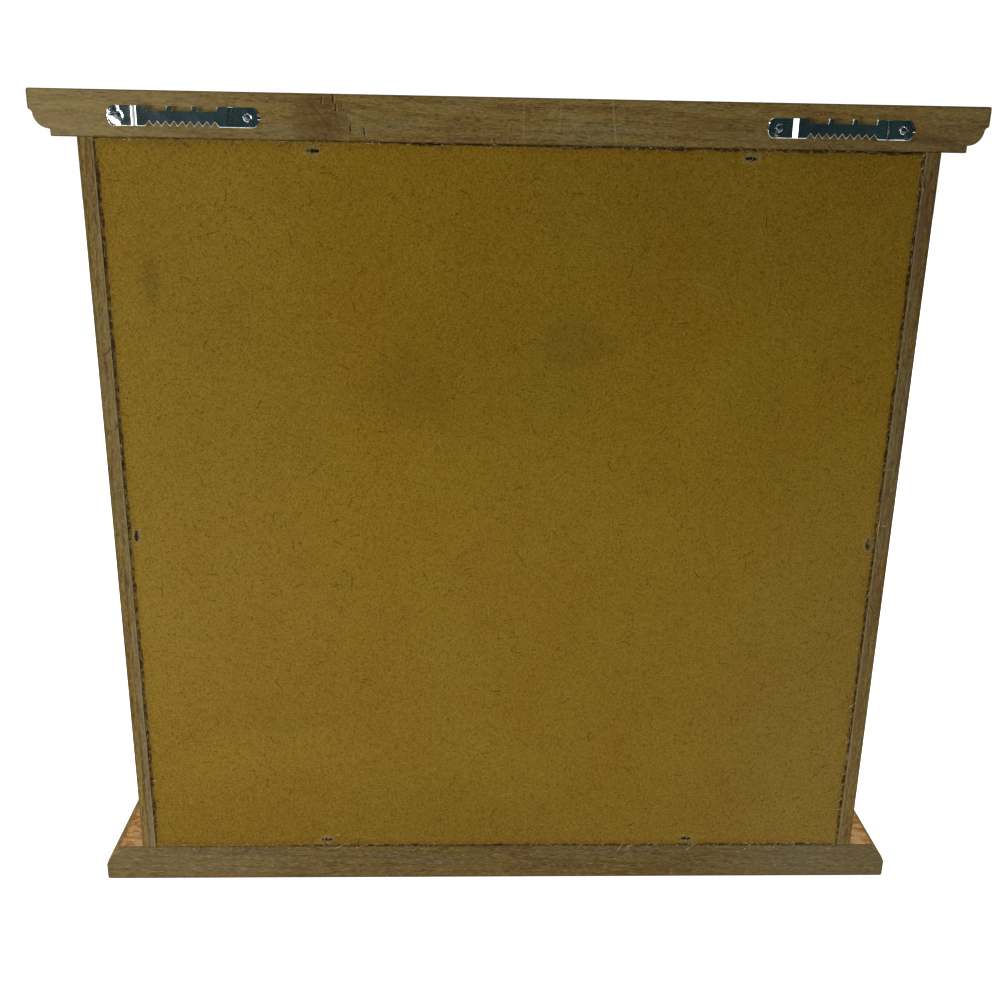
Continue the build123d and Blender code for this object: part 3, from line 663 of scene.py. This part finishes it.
# %% Crown, base and sides
crown_wood = oak(
    "crown_oak",
    heart=(0, 20, -420),
    raw=sawn_back,
    marks=crown_marks,
    knot=(KNOT_X, KNOT_Z, 5.0, 9.0),
)
base_wood = oak(
    "base_oak", heart=(40, 10, -95), raw=sawn_back, marks=base_marks, flames=0.7, ring=3.0
)
side_wood = oak("side_oak", upright=True, heart=(0, -80, 240), raw=sawn_back, marks=side_marks)
boards = [
    eased("crown_board", crown_wood, "case", "oak_crown"),
    eased("base_board", base_wood, "case", "oak_base"),
    eased("side_left", side_wood, "case", "oak_side"),
    eased("side_right", side_wood, "case", "oak_side"),
]
print("board points:", [len(board.data.vertices) for board in boards])

# %% Door and beads
frame_upright = oak("stile_oak", upright=True, heart=(0, 95, 200), ring=2.4)
frame_level = oak("rail_oak", heart=(60, 95, -260), ring=2.4)
bead_upright = oak("upright_bead_oak", upright=True, heart=(30, 70, -150))
bead_level = oak("level_bead_oak", heart=(90, 60, -300))
for side in ("left", "right"):
    eased(f"door_stile_{side}", frame_upright, "door", "oak_door")
    eased(f"glass_bead_{side}", bead_upright, "door", "oak_bead", ease=0.2)
for side in ("top", "bottom"):
    eased(f"door_rail_{side}", frame_level, "door", "oak_door")
    eased(f"glass_bead_{side}", bead_level, "door", "oak_bead", ease=0.2)
print("door framed")

# %% Shelves
SHELVES = 6
shelf_woods = []
for number in (1, 2, 3):
    heart = (50 * number, 12 - 9 * number, -60 - 47 * number)
    shelf_woods.append(oak(f"shelf_oak_{number}", heart, ring=2.9))
for number in range(1, SHELVES + 1):
    eased(f"shelf_{number}", shelf_woods[number % 3], "case", "oak_shelf")
eased("top_panel", shelf_woods[1], "case", "oak_shelf")
print("shelves:", SHELVES, "and the top panel")

# %% [markdown]
# ## Hardboard
# Hardboard is wood fibre pressed hot into a sheet. Its back is a mat of fine grains with
# hairs of fibre lying every way, some dark and some pale, with soft stains here and there,
# and its sawn edge frays. Hairs can't come from plain noise, because each needs its own
# direction. A Voronoi pattern gives every cell a random colour, and that colour turns,
# bends and shortens one hair inside the cell.


# %% Hairs that lie every way
def hairs(board, flat, cell, width, length, amount, shift):
    """A mask of short curved hairs, one to a cell; all but shift are in millimetres."""
    placed = board.moved(flat, shift=(shift, shift * 0.7, 0))
    settings = {"voronoi_dimensions": "2D", "feature": "F1"}
    cells = board.node("TexVoronoi", settings, {"Vector": placed, "Scale": 1 / cell})
    centre = {0: placed, 1: cells.also("Position")}
    offset = board.node("VectorMath", {"operation": "SUBTRACT"}, centre)
    first, second, third = board.parts(cells.also("Color"))
    sockets = {"Vector": offset, "Angle": first * math.tau}
    turned = board.node("VectorRotate", {"rotation_type": "Z_AXIS"}, sockets)
    along, aside, _ = board.parts(turned)
    bent = aside + along * along * (second - 0.5) * (1.6 / cell)
    thin = board.smooth(board.maths("ABSOLUTE", bent), width, width * 0.25)
    short = board.smooth(board.maths("ABSOLUTE", along), length, length * 0.7)
    chosen = board.maths("LESS_THAN", third, amount)
    return thin * short * chosen


# %% Where the staples and the smudges are
# X, Z, half width, half height and, for a smudge, strength.
panel_low, panel_high = corners("back_panel")
STAPLES = (
    (-101.6, 362.7, 2.4, 0.8),
    (85.6, 362.7, 2.4, 0.8),
    (-96.8, 23.0, 2.4, 0.8),
    (89.5, 23.0, 2.4, 0.8),
    (-173.55, 187.0, 0.8, 2.4),
    (173.55, 189.0, 0.8, 2.4),
)
SMUDGES = (
    (157.8, 309.0, 4.5, 15.0, 0.24),
    (-31.1, 281.5, 17.0, 11.0, 0.15),
    (49.8, 260.0, 26.0, 21.0, 0.13),
    (10.0, 272.0, 62.0, 36.0, 0.08),
    (80.7, 279.0, 9.0, 3.0, 0.10),
    (120.0, 96.0, 30.0, 12.0, 0.05),
    (-120.0, 230.0, 26.0, 40.0, 0.05),
)
print("staples:", len(STAPLES), "smudges:", len(SMUDGES))

# %% Hardboard colours
OCHRE = shade(164, 128, 22)
OCHRE_WARM = shade(160, 120, 12)
OCHRE_OLIVE = shade(144, 118, 16)
OCHRE_PAINTED_LIGHT = shade(188, 148, 24)
OCHRE_PALE = shade(204, 170, 72)
OCHRE_DARK = shade(86, 58, 8)
# Grey for the torn fibre round the staples and for painted sheen.
DUST_AND_SHEEN = shade(168, 152, 104)
FIBRE_DARK = shade(74, 50, 16)
# Burnt brown of the sawn edge, and the painted shade in the staple slots.
BURNT_EDGE_AND_SHADE = shade(50, 26, 10)
SMOOTH_BROWN = shade(112, 78, 48)
print("hardboard colours: 10")


# %% Hardboard finish
def hardboard_finish():
    """Grains, hairs and smudges on ochre, a burnt edge, and painted light, sheen and shade."""
    board = Finish("hardboard_back", Specular_IOR_Level=0.12)
    across, depth, up = board.parts(board.place)
    flat = board.moved(board.place, turn=(-90, 0, 0))
    grains = board.noise(flat, (1.45, 1.45, 1.45), 3, 0.8)
    clots = board.noise(flat, (0.30, 0.30, 0.30), 3, 0.6, shift=(9, 4, 2))
    clouds = board.noise(flat, (0.022, 0.022, 0.022), 3, 0.55)
    wide = board.noise(flat, (0.006, 0.006, 0.006), 2, shift=(3, 8, 1))
    sideways = panel_high.x - board.maths("ABSOLUTE", across)
    upwards = board.maths("MINIMUM", up - panel_low.z, panel_high.z - up)
    inwards = board.maths("MINIMUM", sideways, upwards)
    tone = board.mixed(board.smooth(clouds, 0.3, 0.7), OCHRE, OCHRE_WARM)
    tone = board.mixed(board.smooth(wide, 0.45, 0.7) * 0.3, tone, OCHRE_OLIVE)
    # Lighter towards the middle of the panel's height, darker to the top and foot: painted
    # light.
    tone = board.mixed(board.smooth(upwards, 20, 170) * 0.28, tone, OCHRE_PAINTED_LIGHT)
    # Greyer towards +X, the lamp's side, and towards the foot: painted sheen.
    dust_and_sheen = board.smooth(across, 40, 180) * board.smooth(up, 0, 200) * 0.10
    dust_and_sheen = dust_and_sheen + board.smooth(across, -60, -175) * board.smooth(up, 300, 60) * 0.12
    dust_and_sheen = dust_and_sheen + board.smooth(up, 280, 130) * 0.06
    tone = board.mixed(dust_and_sheen, tone, DUST_AND_SHEEN)
    # Darker at the top and the foot towards -X, away from the left lamp: painted shade.
    board_painted_shade = board.smooth(up, 250, 360) * board.smooth(across, 90, -60) * 0.14
    board_painted_shade = board_painted_shade + board.smooth(up, 75, 25) * board.smooth(across, -180, 0) * 0.17
    tone = board.mixed(board_painted_shade, tone, OCHRE_DARK)
    tone = board.mixed(board.smooth(grains, 0.48, 0.32) * 0.5, tone, OCHRE_PALE)
    tone = board.mixed(board.smooth(grains, 0.53, 0.66) * 0.85, tone, OCHRE_DARK)
    tone = board.mixed(board.smooth(clots, 0.56, 0.70) * 0.2, tone, OCHRE_DARK)
    pale = hairs(board, flat, 7.0, 0.20, 2.2, 0.06, 12.0)
    pale_long = hairs(board, flat, 15.0, 0.20, 6.0, 0.05, 41.0)
    dark = hairs(board, flat, 9.0, 0.24, 3.0, 0.08, 77.0)
    dark_short = hairs(board, flat, 4.6, 0.26, 0.9, 0.07, 29.0)
    tone = board.mixed(pale * 0.45 + pale_long * 0.5, tone, OCHRE_PALE)
    tone = board.mixed(dark * 0.85 + dark_short * 0.8, tone, FIBRE_DARK)
    ragged = (clouds - 0.5) * 3.0 + (clots - 0.5) * 2.0
    for *smudge, strength in SMUDGES:
        stain = spot(board, across, up, *smudge, ragged)
        tone = board.mixed(stain * strength, tone, FIBRE_DARK)
    frayed = (clots - 0.5) * 2.2 + (grains - 0.5) * 2.4
    for x, z, half_width, half_height in STAPLES:
        halo = spot(board, across, up, x, z, half_width + 2.0, half_height + 2.0, frayed * 1.5)
        # Dark round each staple's slot: painted shade in the slot.
        slot_shade = spot(board, across, up, x, z, half_width + 0.5, half_height + 0.4, frayed)
        tone = board.mixed(halo * 0.5, tone, DUST_AND_SHEEN)
        tone = board.mixed(slot_shade * 0.9, tone, BURNT_EDGE_AND_SHADE)
    stretches = board.noise(flat, (0.10, 0.10, 0.10), 3, 0.7, shift=(5, 2, 8))
    clean = across + board.smooth(up, 150, 200) * 60
    clean_corner = board.smooth(clean, 95, 125) * board.smooth(upwards, 12, 4)
    width = 0.2 + board.smooth(stretches, 0.38, 0.66) * 0.8 - clean_corner
    width = width + board.smooth(sideways, 3, 1) * 0.6
    burnt = board.smooth(inwards + (grains - 0.5) * 2.0, width + 0.35, width - 0.25)
    burnt = burnt * (0.5 + board.smooth(clots, 0.42, 0.54) * 0.5)
    # Darker within a few millimetres of the panel's edges: painted shade along the joints.
    board_edge_shade = board.smooth(inwards + (clots - 0.5) * 6.0, 4.0, 0.5)
    tone = board.mixed(board_edge_shade * 0.2, tone, FIBRE_DARK)
    tone = board.mixed(burnt * 0.9, tone, BURNT_EDGE_AND_SHADE)
    inner = board.smooth(depth, panel_low.y + 0.35, panel_low.y + 0.1)
    tone = board.mixed(inner, tone, board.mixed(clouds, SMOOTH_BROWN, OCHRE_DARK))
    relief = grains * 0.8 + clots * 0.7 + (dark + pale + pale_long) * 0.5
    return board.finish_with(tone, 0.82 - inner * 0.35, relief * (1 - inner), 0.14)


hardboard = hardboard_finish()
print("hardboard nodes:", len(hardboard.node_tree.nodes))


# %% A panel with frayed edges
NEAR = 0.01 * MM
OUTLINE_CUTS = 260
# From these X on the joint is tight, along the top and along the foot.
TIGHT_TOP_FROM, TIGHT_FOOT_FROM = 45 * MM, 105 * MM
COARSE_FRAY, FINE_FRAY = 420, 1300


def frayed_panel():
    """The back panel with its long edges divided and nibbled, less where the joint is tight."""
    made = joined_copy("back_panel")
    edge_x, back = panel_high.x * MM - NEAR, panel_high.y * MM - NEAR
    middle_z = (panel_low.z + panel_high.z) / 2 * MM
    outline = [
        edge
        for edge in made.edges
        if edge.calc_length() > 0.3 and all(vert.co.y > back for vert in edge.verts)
    ]
    split = bmesh.ops.subdivide_edges(made, edges=outline, cuts=OUTLINE_CUTS)
    for vert in {part for part in split["geom_split"] if isinstance(part, bmesh.types.BMVert)}:
        side = abs(vert.co.x) > edge_x
        tight_from = TIGHT_TOP_FROM if vert.co.z > middle_z else TIGHT_FOOT_FROM
        tight = vert.co.x > tight_from and not side
        coarse, fine = [noise.noise(vert.co * fray) for fray in (COARSE_FRAY, FINE_FRAY)]
        bite = 0.8 * abs(coarse) + 0.5 * abs(fine)
        bite = bite * (0.3 if tight else 1.0) - 0.33
        to_middle = Vector((-vert.co.x, 0, middle_z - vert.co.z))
        push = Vector((to_middle.x, 0, 0)) if side else Vector((0, 0, to_middle.z))
        vert.co += push.normalized() * bite * MM
        vert.co.y -= 0.25 * abs(bite) * MM
    return show(made, "hardboard_back", hardboard, "case", "hardboard", "back_panel")


panel = frayed_panel()
print("panel points:", len(panel.data.vertices))

# %% [markdown]
# ## Frayed fibre at the joints and staples
# Pale hairs of fibre stand out of the sawn edge and lie across the joint, and more were torn
# up where the staples went in. They are real geometry, because a hair that crosses from one
# part to the next can't be painted on either. One bent hair is made by extruding a triangle
# a few times, and copies of it are turned, stretched and scattered along the four joints and
# over the six staples.


# %% One hair
def one_hair():
    """A bent hair 1 mm long on the X axis, three-sided and closed."""
    made = bmesh.new()
    ring = bmesh.ops.create_circle(made, cap_ends=True, segments=3, radius=0.085 * MM)["verts"]
    bmesh.ops.rotate(made, verts=ring, matrix=Matrix.Rotation(math.radians(90), 3, "Y"))
    cap = made.faces[:]
    for step in range(4):
        pushed = bmesh.ops.extrude_face_region(made, geom=cap)["geom"]
        if step:
            bmesh.ops.delete(made, geom=cap, context="FACES_ONLY")
        cap = [part for part in pushed if isinstance(part, bmesh.types.BMFace)]
        tip = [part for part in pushed if isinstance(part, bmesh.types.BMVert)]
        lean = Vector((0.25, 0.03 * step, 0.06 * step)) * MM
        bmesh.ops.translate(made, verts=tip, vec=lean)
    bmesh.ops.recalc_face_normals(made, faces=made.faces)
    return as_mesh(made, "hair_pattern")


# %% Many copies
def copies(pattern, places):
    """One bmesh of copies of a mesh, each moved and turned by a matrix."""
    made = bmesh.new()
    for place in places:
        start = len(made.verts)
        made.from_mesh(pattern)
        made.verts.ensure_lookup_table()
        bmesh.ops.transform(made, matrix=place, verts=made.verts[start:])
    return made


# %% Places of the hairs
HAIRS_AT_JOINTS, HAIRS_PER_STAPLE = 1300, 11


def hair_places():
    """Matrices that lay hairs along the joints round the hardboard and over its staples."""
    chance = random.Random(11)
    places = []
    width = panel_high.x * 2
    height = panel_high.z - panel_low.z

    def lay(x, z, angle):
        stretch = chance.uniform(0.8, 2.6) * (1 + (chance.random() < 0.08) * 1.6)
        places.append(
            Matrix.Translation(Vector((x, back_face + chance.uniform(-0.1, 0.15), z)) * MM)
            @ Matrix.Rotation(math.radians(angle), 4, "Y")
            @ Matrix.Rotation(math.radians(chance.uniform(-14, 4)), 4, "Z")
            @ Matrix.Diagonal((stretch, stretch * chance.choice((-1, 1)), 1.0, 1.0))
        )

    for _ in range(HAIRS_AT_JOINTS):
        along = chance.random() * 2 * (width + height)
        off = chance.gauss(-0.3, 0.5)
        if along < 2 * width:
            upper = along < width
            x = (along % width) - panel_high.x
            z = panel_high.z + off if upper else panel_low.z - off
            angle = chance.gauss(0, 50)
        else:
            right = along < 2 * width + height
            z = panel_low.z + (along - 2 * width) % height
            x = (panel_high.x + off) * (1 if right else -1)
            angle = chance.gauss(90, 50)
        lay(x, z, angle)
    for x, z, half_width, half_height in STAPLES:
        for _ in range(HAIRS_PER_STAPLE):
            off = chance.choice((-1, 1)) * chance.uniform(0.5, 1.1)
            along = chance.uniform(-1, 1)
            if half_width > half_height:
                centre = (x + half_width * along, z + half_height * off)
            else:
                centre = (x + half_width * off, z + half_height * along)
            lay(*centre, chance.uniform(0, 360))
    return places


hairs_laid = copies(one_hair(), hair_places())
bmesh.ops.recalc_face_normals(hairs_laid, faces=hairs_laid.faces)

# %% Fibre finish
FIBRE_BROWN = shade(140, 106, 46)
FIBRE_STRAW = shade(222, 196, 136)
fibre = Finish("frayed_fibre", Roughness=0.85)
fibre_cloud = fibre.noise(fibre.place, (0.7, 0.7, 0.7), 2)
fibre_tone = fibre.ramp(fibre_cloud, (0.35, FIBRE_BROWN), (0.62, FIBRE_STRAW))
fibre_relief = fibre.noise(fibre.place, (9, 9, 9))
fibre_finish = fibre.finish_with(fibre_tone, height=fibre_relief, depth=0.02)
fuzz = show(hairs_laid, "joint_fibres", fibre_finish, "case", "hardboard")
print("hairs:", len(fuzz.data.polygons), "faces")

# %% [markdown]
# ## Plated steel
# The hangers are punched from thin strip and plated bright. Polished metal has hardly any
# colour of its own: what shows is the room, so the card behind the camera makes the flat
# faces dark, and every bend, dish and cut edge that turns away from it flashes white.


# %% Metal finishes
def metal(name, colour, dull=0.12, worn=0.15, scratch=0.02, tarnish=None, tarnished=0.0):
    """A metal with cloudy polish, fine scratches and, if given, patches of tarnish."""
    plate = Finish(name, Metallic=1.0)
    clouds = plate.noise(plate.place, (0.35, 0.35, 0.35), 3)
    fine = plate.noise(plate.place, (0.6, 9.0, 9.0), 3, 0.7)
    tone = plate.mixed(clouds * 0.3, colour, [channel * 0.75 for channel in colour[:3]] + [1])
    if tarnish is not None:
        patches = plate.smooth(plate.noise(plate.place, (0.9, 0.9, 0.9), 4, 0.7), 0.42, 0.6)
        tone = plate.mixed(patches * tarnished, tone, tarnish)
    return plate.finish_with(tone, dull + clouds * worn, fine + clouds, scratch)


zinc = metal("zinc_plate", (0.80, 0.83, 0.83, 1), 0.06, 0.16, 0.012)
nail_steel = metal("nail_steel", (0.11, 0.13, 0.14, 1), 0.22, 0.2)
staple_steel = metal(
    "staple_steel", (0.035, 0.024, 0.016, 1), 0.5, 0.2, tarnish=shade(24, 18, 8), tarnished=0.8
)
screw_steel = metal("screw_steel", (0.66, 0.60, 0.42, 1), 0.25, 0.2)
strike_steel = metal("strike_steel", (0.70, 0.69, 0.66, 1), 0.2, 0.15)
magnet_plate = metal("magnet_plate", (0.62, 0.62, 0.61, 1), 0.22, 0.15)
brass = metal(
    "hinge_brass", (0.86, 0.62, 0.26, 1), 0.2, 0.2, tarnish=shade(150, 108, 52), tarnished=0.5
)
brass_screw = metal(
    "brass_screw", (0.84, 0.60, 0.27, 1), 0.26, 0.2, tarnish=shade(132, 92, 44), tarnished=0.6
)
knob_brass = metal("knob_brass", (0.89, 0.66, 0.29, 1), 0.1, 0.12)


# %% Small metal parts
def dress(finish, *nodes):
    """Give parts that keep their own shape a finish."""
    for node in nodes:
        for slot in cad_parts[node].material_slots:
            slot.material = finish
    print(finish.name, "on", ", ".join(nodes))


dress(staple_steel, "back_staples")
dress(screw_steel, "base_screws", "crown_screws", "knob_screw", "strike_screws")
dress(strike_steel, "strike_discs")
dress(magnet_plate, "catch_magnets")
dress(brass, "hinge_pins")
dress(brass_screw, "hinge_case_screws", "hinge_door_screws")
dress(nail_steel, "bead_brads")
for level in ("top", "bottom"):
    for body in ("case", "door"):
        leaf = f"hinge_{body}_leaf_{level}"
        eased(leaf, brass, body, "brass", ease=0.15, shortest=2.0)

# %% Sizes of a hanger's tab, in millimetres
NAIL_INSET, HOLE_INSET = 5.3, 4.4
TAB_REACH, HOLE_REACH = 4.2, 1.7
HEAD_ROOM, SEAT_REACH, CURL_REACH, SPREAD = 1.3, 2.2, 3.9, 1.5
CREASE, FOLD, SQUARE = 0.7, 0.6, 0.4
SEAT_SHARE, CREASED_FROM = 0.5, 0.7
print("nail", NAIL_INSET, "mm from the end of its strip")


# %% Press a tab down round its nail
def squared(made, nail):
    """Cut the tab round a nail into small squares, so that it can be pressed."""
    for axis in (Vector((1, 0, 0)), Vector((0, 0, 1))):
        for step in range(-10, 11):
            tab = [
                face
                for face in made.faces
                if axis.x or abs(face.calc_center_median().x / MM - nail.x) < TAB_REACH
            ]
            # Dicts keep their order, so every run cuts alike.
            edges = dict.fromkeys(edge for face in tab for edge in face.edges)
            verts = dict.fromkeys(vert for face in tab for vert in face.verts)
            cut = (nail + axis * step * SQUARE) * MM
            whole = [*verts, *edges, *tab]
            bmesh.ops.bisect_plane(made, geom=whole, plane_co=cut, plane_no=axis)


def ramp(value, low, high):
    """0 below low, 1 above high and a straight slope between."""
    return min(max((value - low) / (high - low), 0), 1)


def press(made, nail, outwards, bent):
    """Thin the tab under the nail's head, and by the share bent at its outer end."""
    for vert in made.verts:
        place = vert.co / MM
        side = (place.x - nail.x) * outwards
        away = math.hypot(side, place.z - nail.z)
        if away > CURL_REACH + SPREAD or place.y < back_face:
            continue
        seat = SEAT_SHARE * bent * (1 - ramp(away, HEAD_ROOM, SEAT_REACH))
        curl = bent * ramp(away, HEAD_ROOM, CURL_REACH)
        if bent > CREASED_FROM and abs(place.z - nail.z) < CREASE:
            curl = 0
        pressed = seat + (curl - seat) * ramp(side, -FOLD, FOLD)
        vert.co.y -= pressed * (vert.co.y - back_face * MM)


def plugged(made, x, z):
    """Close a nail's countersunk hole, whose edge the hammered tab hides."""
    wall = [
        face
        for face in made.faces
        if abs(face.normal.y) < 0.95
        and math.dist((x, z), (face.calc_center_median() / MM).xz) < HOLE_REACH
    ]
    bmesh.ops.delete(made, geom=wall, context="FACES")
    bmesh.ops.holes_fill(made, edges=[edge for edge in made.edges if edge.is_boundary])
    return len(wall)


# %% Two sawtooth hangers
def hanger(node, *curls):
    """A hanger with softened punched edges and tabs hammered down round their nails."""
    low, high = corners(node)
    made = joined_copy(node)
    middle = (low.z + high.z) / 2
    walls = sum(plugged(made, x, middle) for x in (low.x + HOLE_INSET, high.x - HOLE_INSET))
    print(node, "hole walls taken out:", walls)
    bends = [edge for edge in made.edges if 30 < math.degrees(edge.calc_face_angle()) < 55]
    bevelled(made, bends, 0.4, 3)
    lips = [
        edge
        for edge in made.edges
        if any(face.normal.x > 0.95 for face in edge.link_faces)
        and any(face.normal.y > 0.95 for face in edge.link_faces)
        and min(vert.co.z for vert in edge.verts) > middle * MM
    ]
    bevelled(made, lips, 0.5, 1)
    sharp = [edge for edge in made.edges if edge.calc_face_angle() > math.radians(60)]
    bevelled(made, sharp, 0.2)
    nails = [Vector((x, back_face, middle)) for x in (low.x + NAIL_INSET, high.x - NAIL_INSET)]
    for nail, outwards, bent in zip(nails, (-1, 1), curls):
        squared(made, nail)
        press(made, nail, outwards, bent)
    show(made, node + "_strip", zinc, "case", "zinc_plate", node, crease=20)
    return nails


nails = hanger("hanger_left", 0.40, 0.55) + hanger("hanger_right", 0.30, 0.85)
print("hanger nails:", len(nails))

# %% [markdown]
# ## Turned heads
# The nails' heads and the door's knob are round about one axis, as if turned on a lathe. So
# each is drawn as half a profile and spun into a closed shape, which is then made its real
# size, turned and set in its place.


# %% Turn a profile and place it
def lathed(profile, steps):
    """Spin a profile of (radius, distance) about the Z axis, in millimetres."""
    made = bmesh.new()
    verts = [made.verts.new((radius, 0, distance)) for radius, distance in profile]
    edges = [made.edges.new(pair) for pair in zip(verts, verts[1:])]
    bmesh.ops.spin(
        made, geom=verts + edges, axis=(0, 0, 1), angle=math.tau, steps=steps, use_merge=True
    )
    bmesh.ops.remove_doubles(made, verts=made.verts, dist=0.001)
    bmesh.ops.recalc_face_normals(made, faces=made.faces)
    return made


def placed(pattern, places):
    """Copies in metres of a bmesh in millimetres, each moved and turned by a matrix."""
    to_metres = Matrix.Scale(MM, 4)
    return copies(as_mesh(pattern, "pattern"), [to_metres @ place for place in places])


# %% Hanger nails
BACKWARDS = Matrix.Rotation(math.radians(-90), 4, "X")
HEAD_HEIGHT = Vector((0, 0.74, 0))
NAIL_PROFILE = (
    (0, 0.24), (0.6, 0.22), (1.0, 0.13), (1.26, -0.02), (1.34, -0.14), (1.2, -0.24),
    (0.6, -0.3), (0.6, -9.6), (0, -10.6),
)
nail_places = [Matrix.Translation(nail + HEAD_HEIGHT) @ BACKWARDS for nail in nails]
nail_heads = placed(lathed(NAIL_PROFILE, 24), nail_places)
show(nail_heads, "dished_nails", nail_steel, "case", "nail_steel", "hanger_nails")
print("nails:", len(nail_places))

# %% Turned knob
KNOB_PROFILE = (
    (0, 0), (5.5, 0), (5.5, 0.9), (5.1, 1.3), (4.2, 1.7), (3.5, 2.4), (3.2, 3.4), (3.3, 4.6),
    (3.9, 5.8), (5.2, 7.0), (6.8, 8.2), (7.7, 9.3), (8.0, 10.4), (7.9, 11.4), (7.3, 12.6),
    (6.2, 13.8), (4.6, 14.9), (2.6, 15.7), (0, 16.0),
)
FORWARDS = Matrix.Rotation(math.radians(90), 4, "X")
knob_low, knob_high = corners("door_knob")
knob_middle = (knob_low + knob_high) / 2
knob_foot = Vector((knob_middle.x, knob_high.y, knob_middle.z))
knob = placed(lathed(KNOB_PROFILE, 64), [Matrix.Translation(knob_foot) @ FORWARDS])
show(knob, "turned_knob", knob_brass, "door", "knob_brass", "door_knob")
print("knob foot at", [round(value, 2) for value in knob_foot])

# %% [markdown]
# ## Glass
# The door's pane is plain window glass. A refracting shader would be true to it, but it also
# shuts out the lamps' direct light and leaves the shelves grey. So the pane is mostly
# see-through, which lets light in, and only its mirror part is drawn: weak where it faces the
# eye and strong at a flat angle, with a trace of dust.

# %% Window glass
GLASS_DEEP = (0.80, 0.88, 0.84, 1)
GLASS_PALE = (0.86, 0.92, 0.89, 1)
FACING_MIRROR, FLAT_MIRROR = 0.012, 0.6
pane = Finish("window_glass", Metallic=1.0)
dust_and_sheen = pane.smooth(pane.noise(pane.place, (0.05, 0.05, 0.05), 3), 0.55, 0.8)
smear = pane.noise(pane.place, (0.012, 0.05, 0.04), 2)
tint = pane.mixed(smear, GLASS_DEEP, GLASS_PALE)
turned_away = pane.node("LayerWeight", None, {"Blend": 0.5}, "Facing")
mirror = FACING_MIRROR + pane.maths("POWER", turned_away, 4) * FLAT_MIRROR + dust_and_sheen * 0.01
dress(pane.finish_with(tint, 0.03 + dust_and_sheen * 0.05, Alpha=mirror), "door_glass")
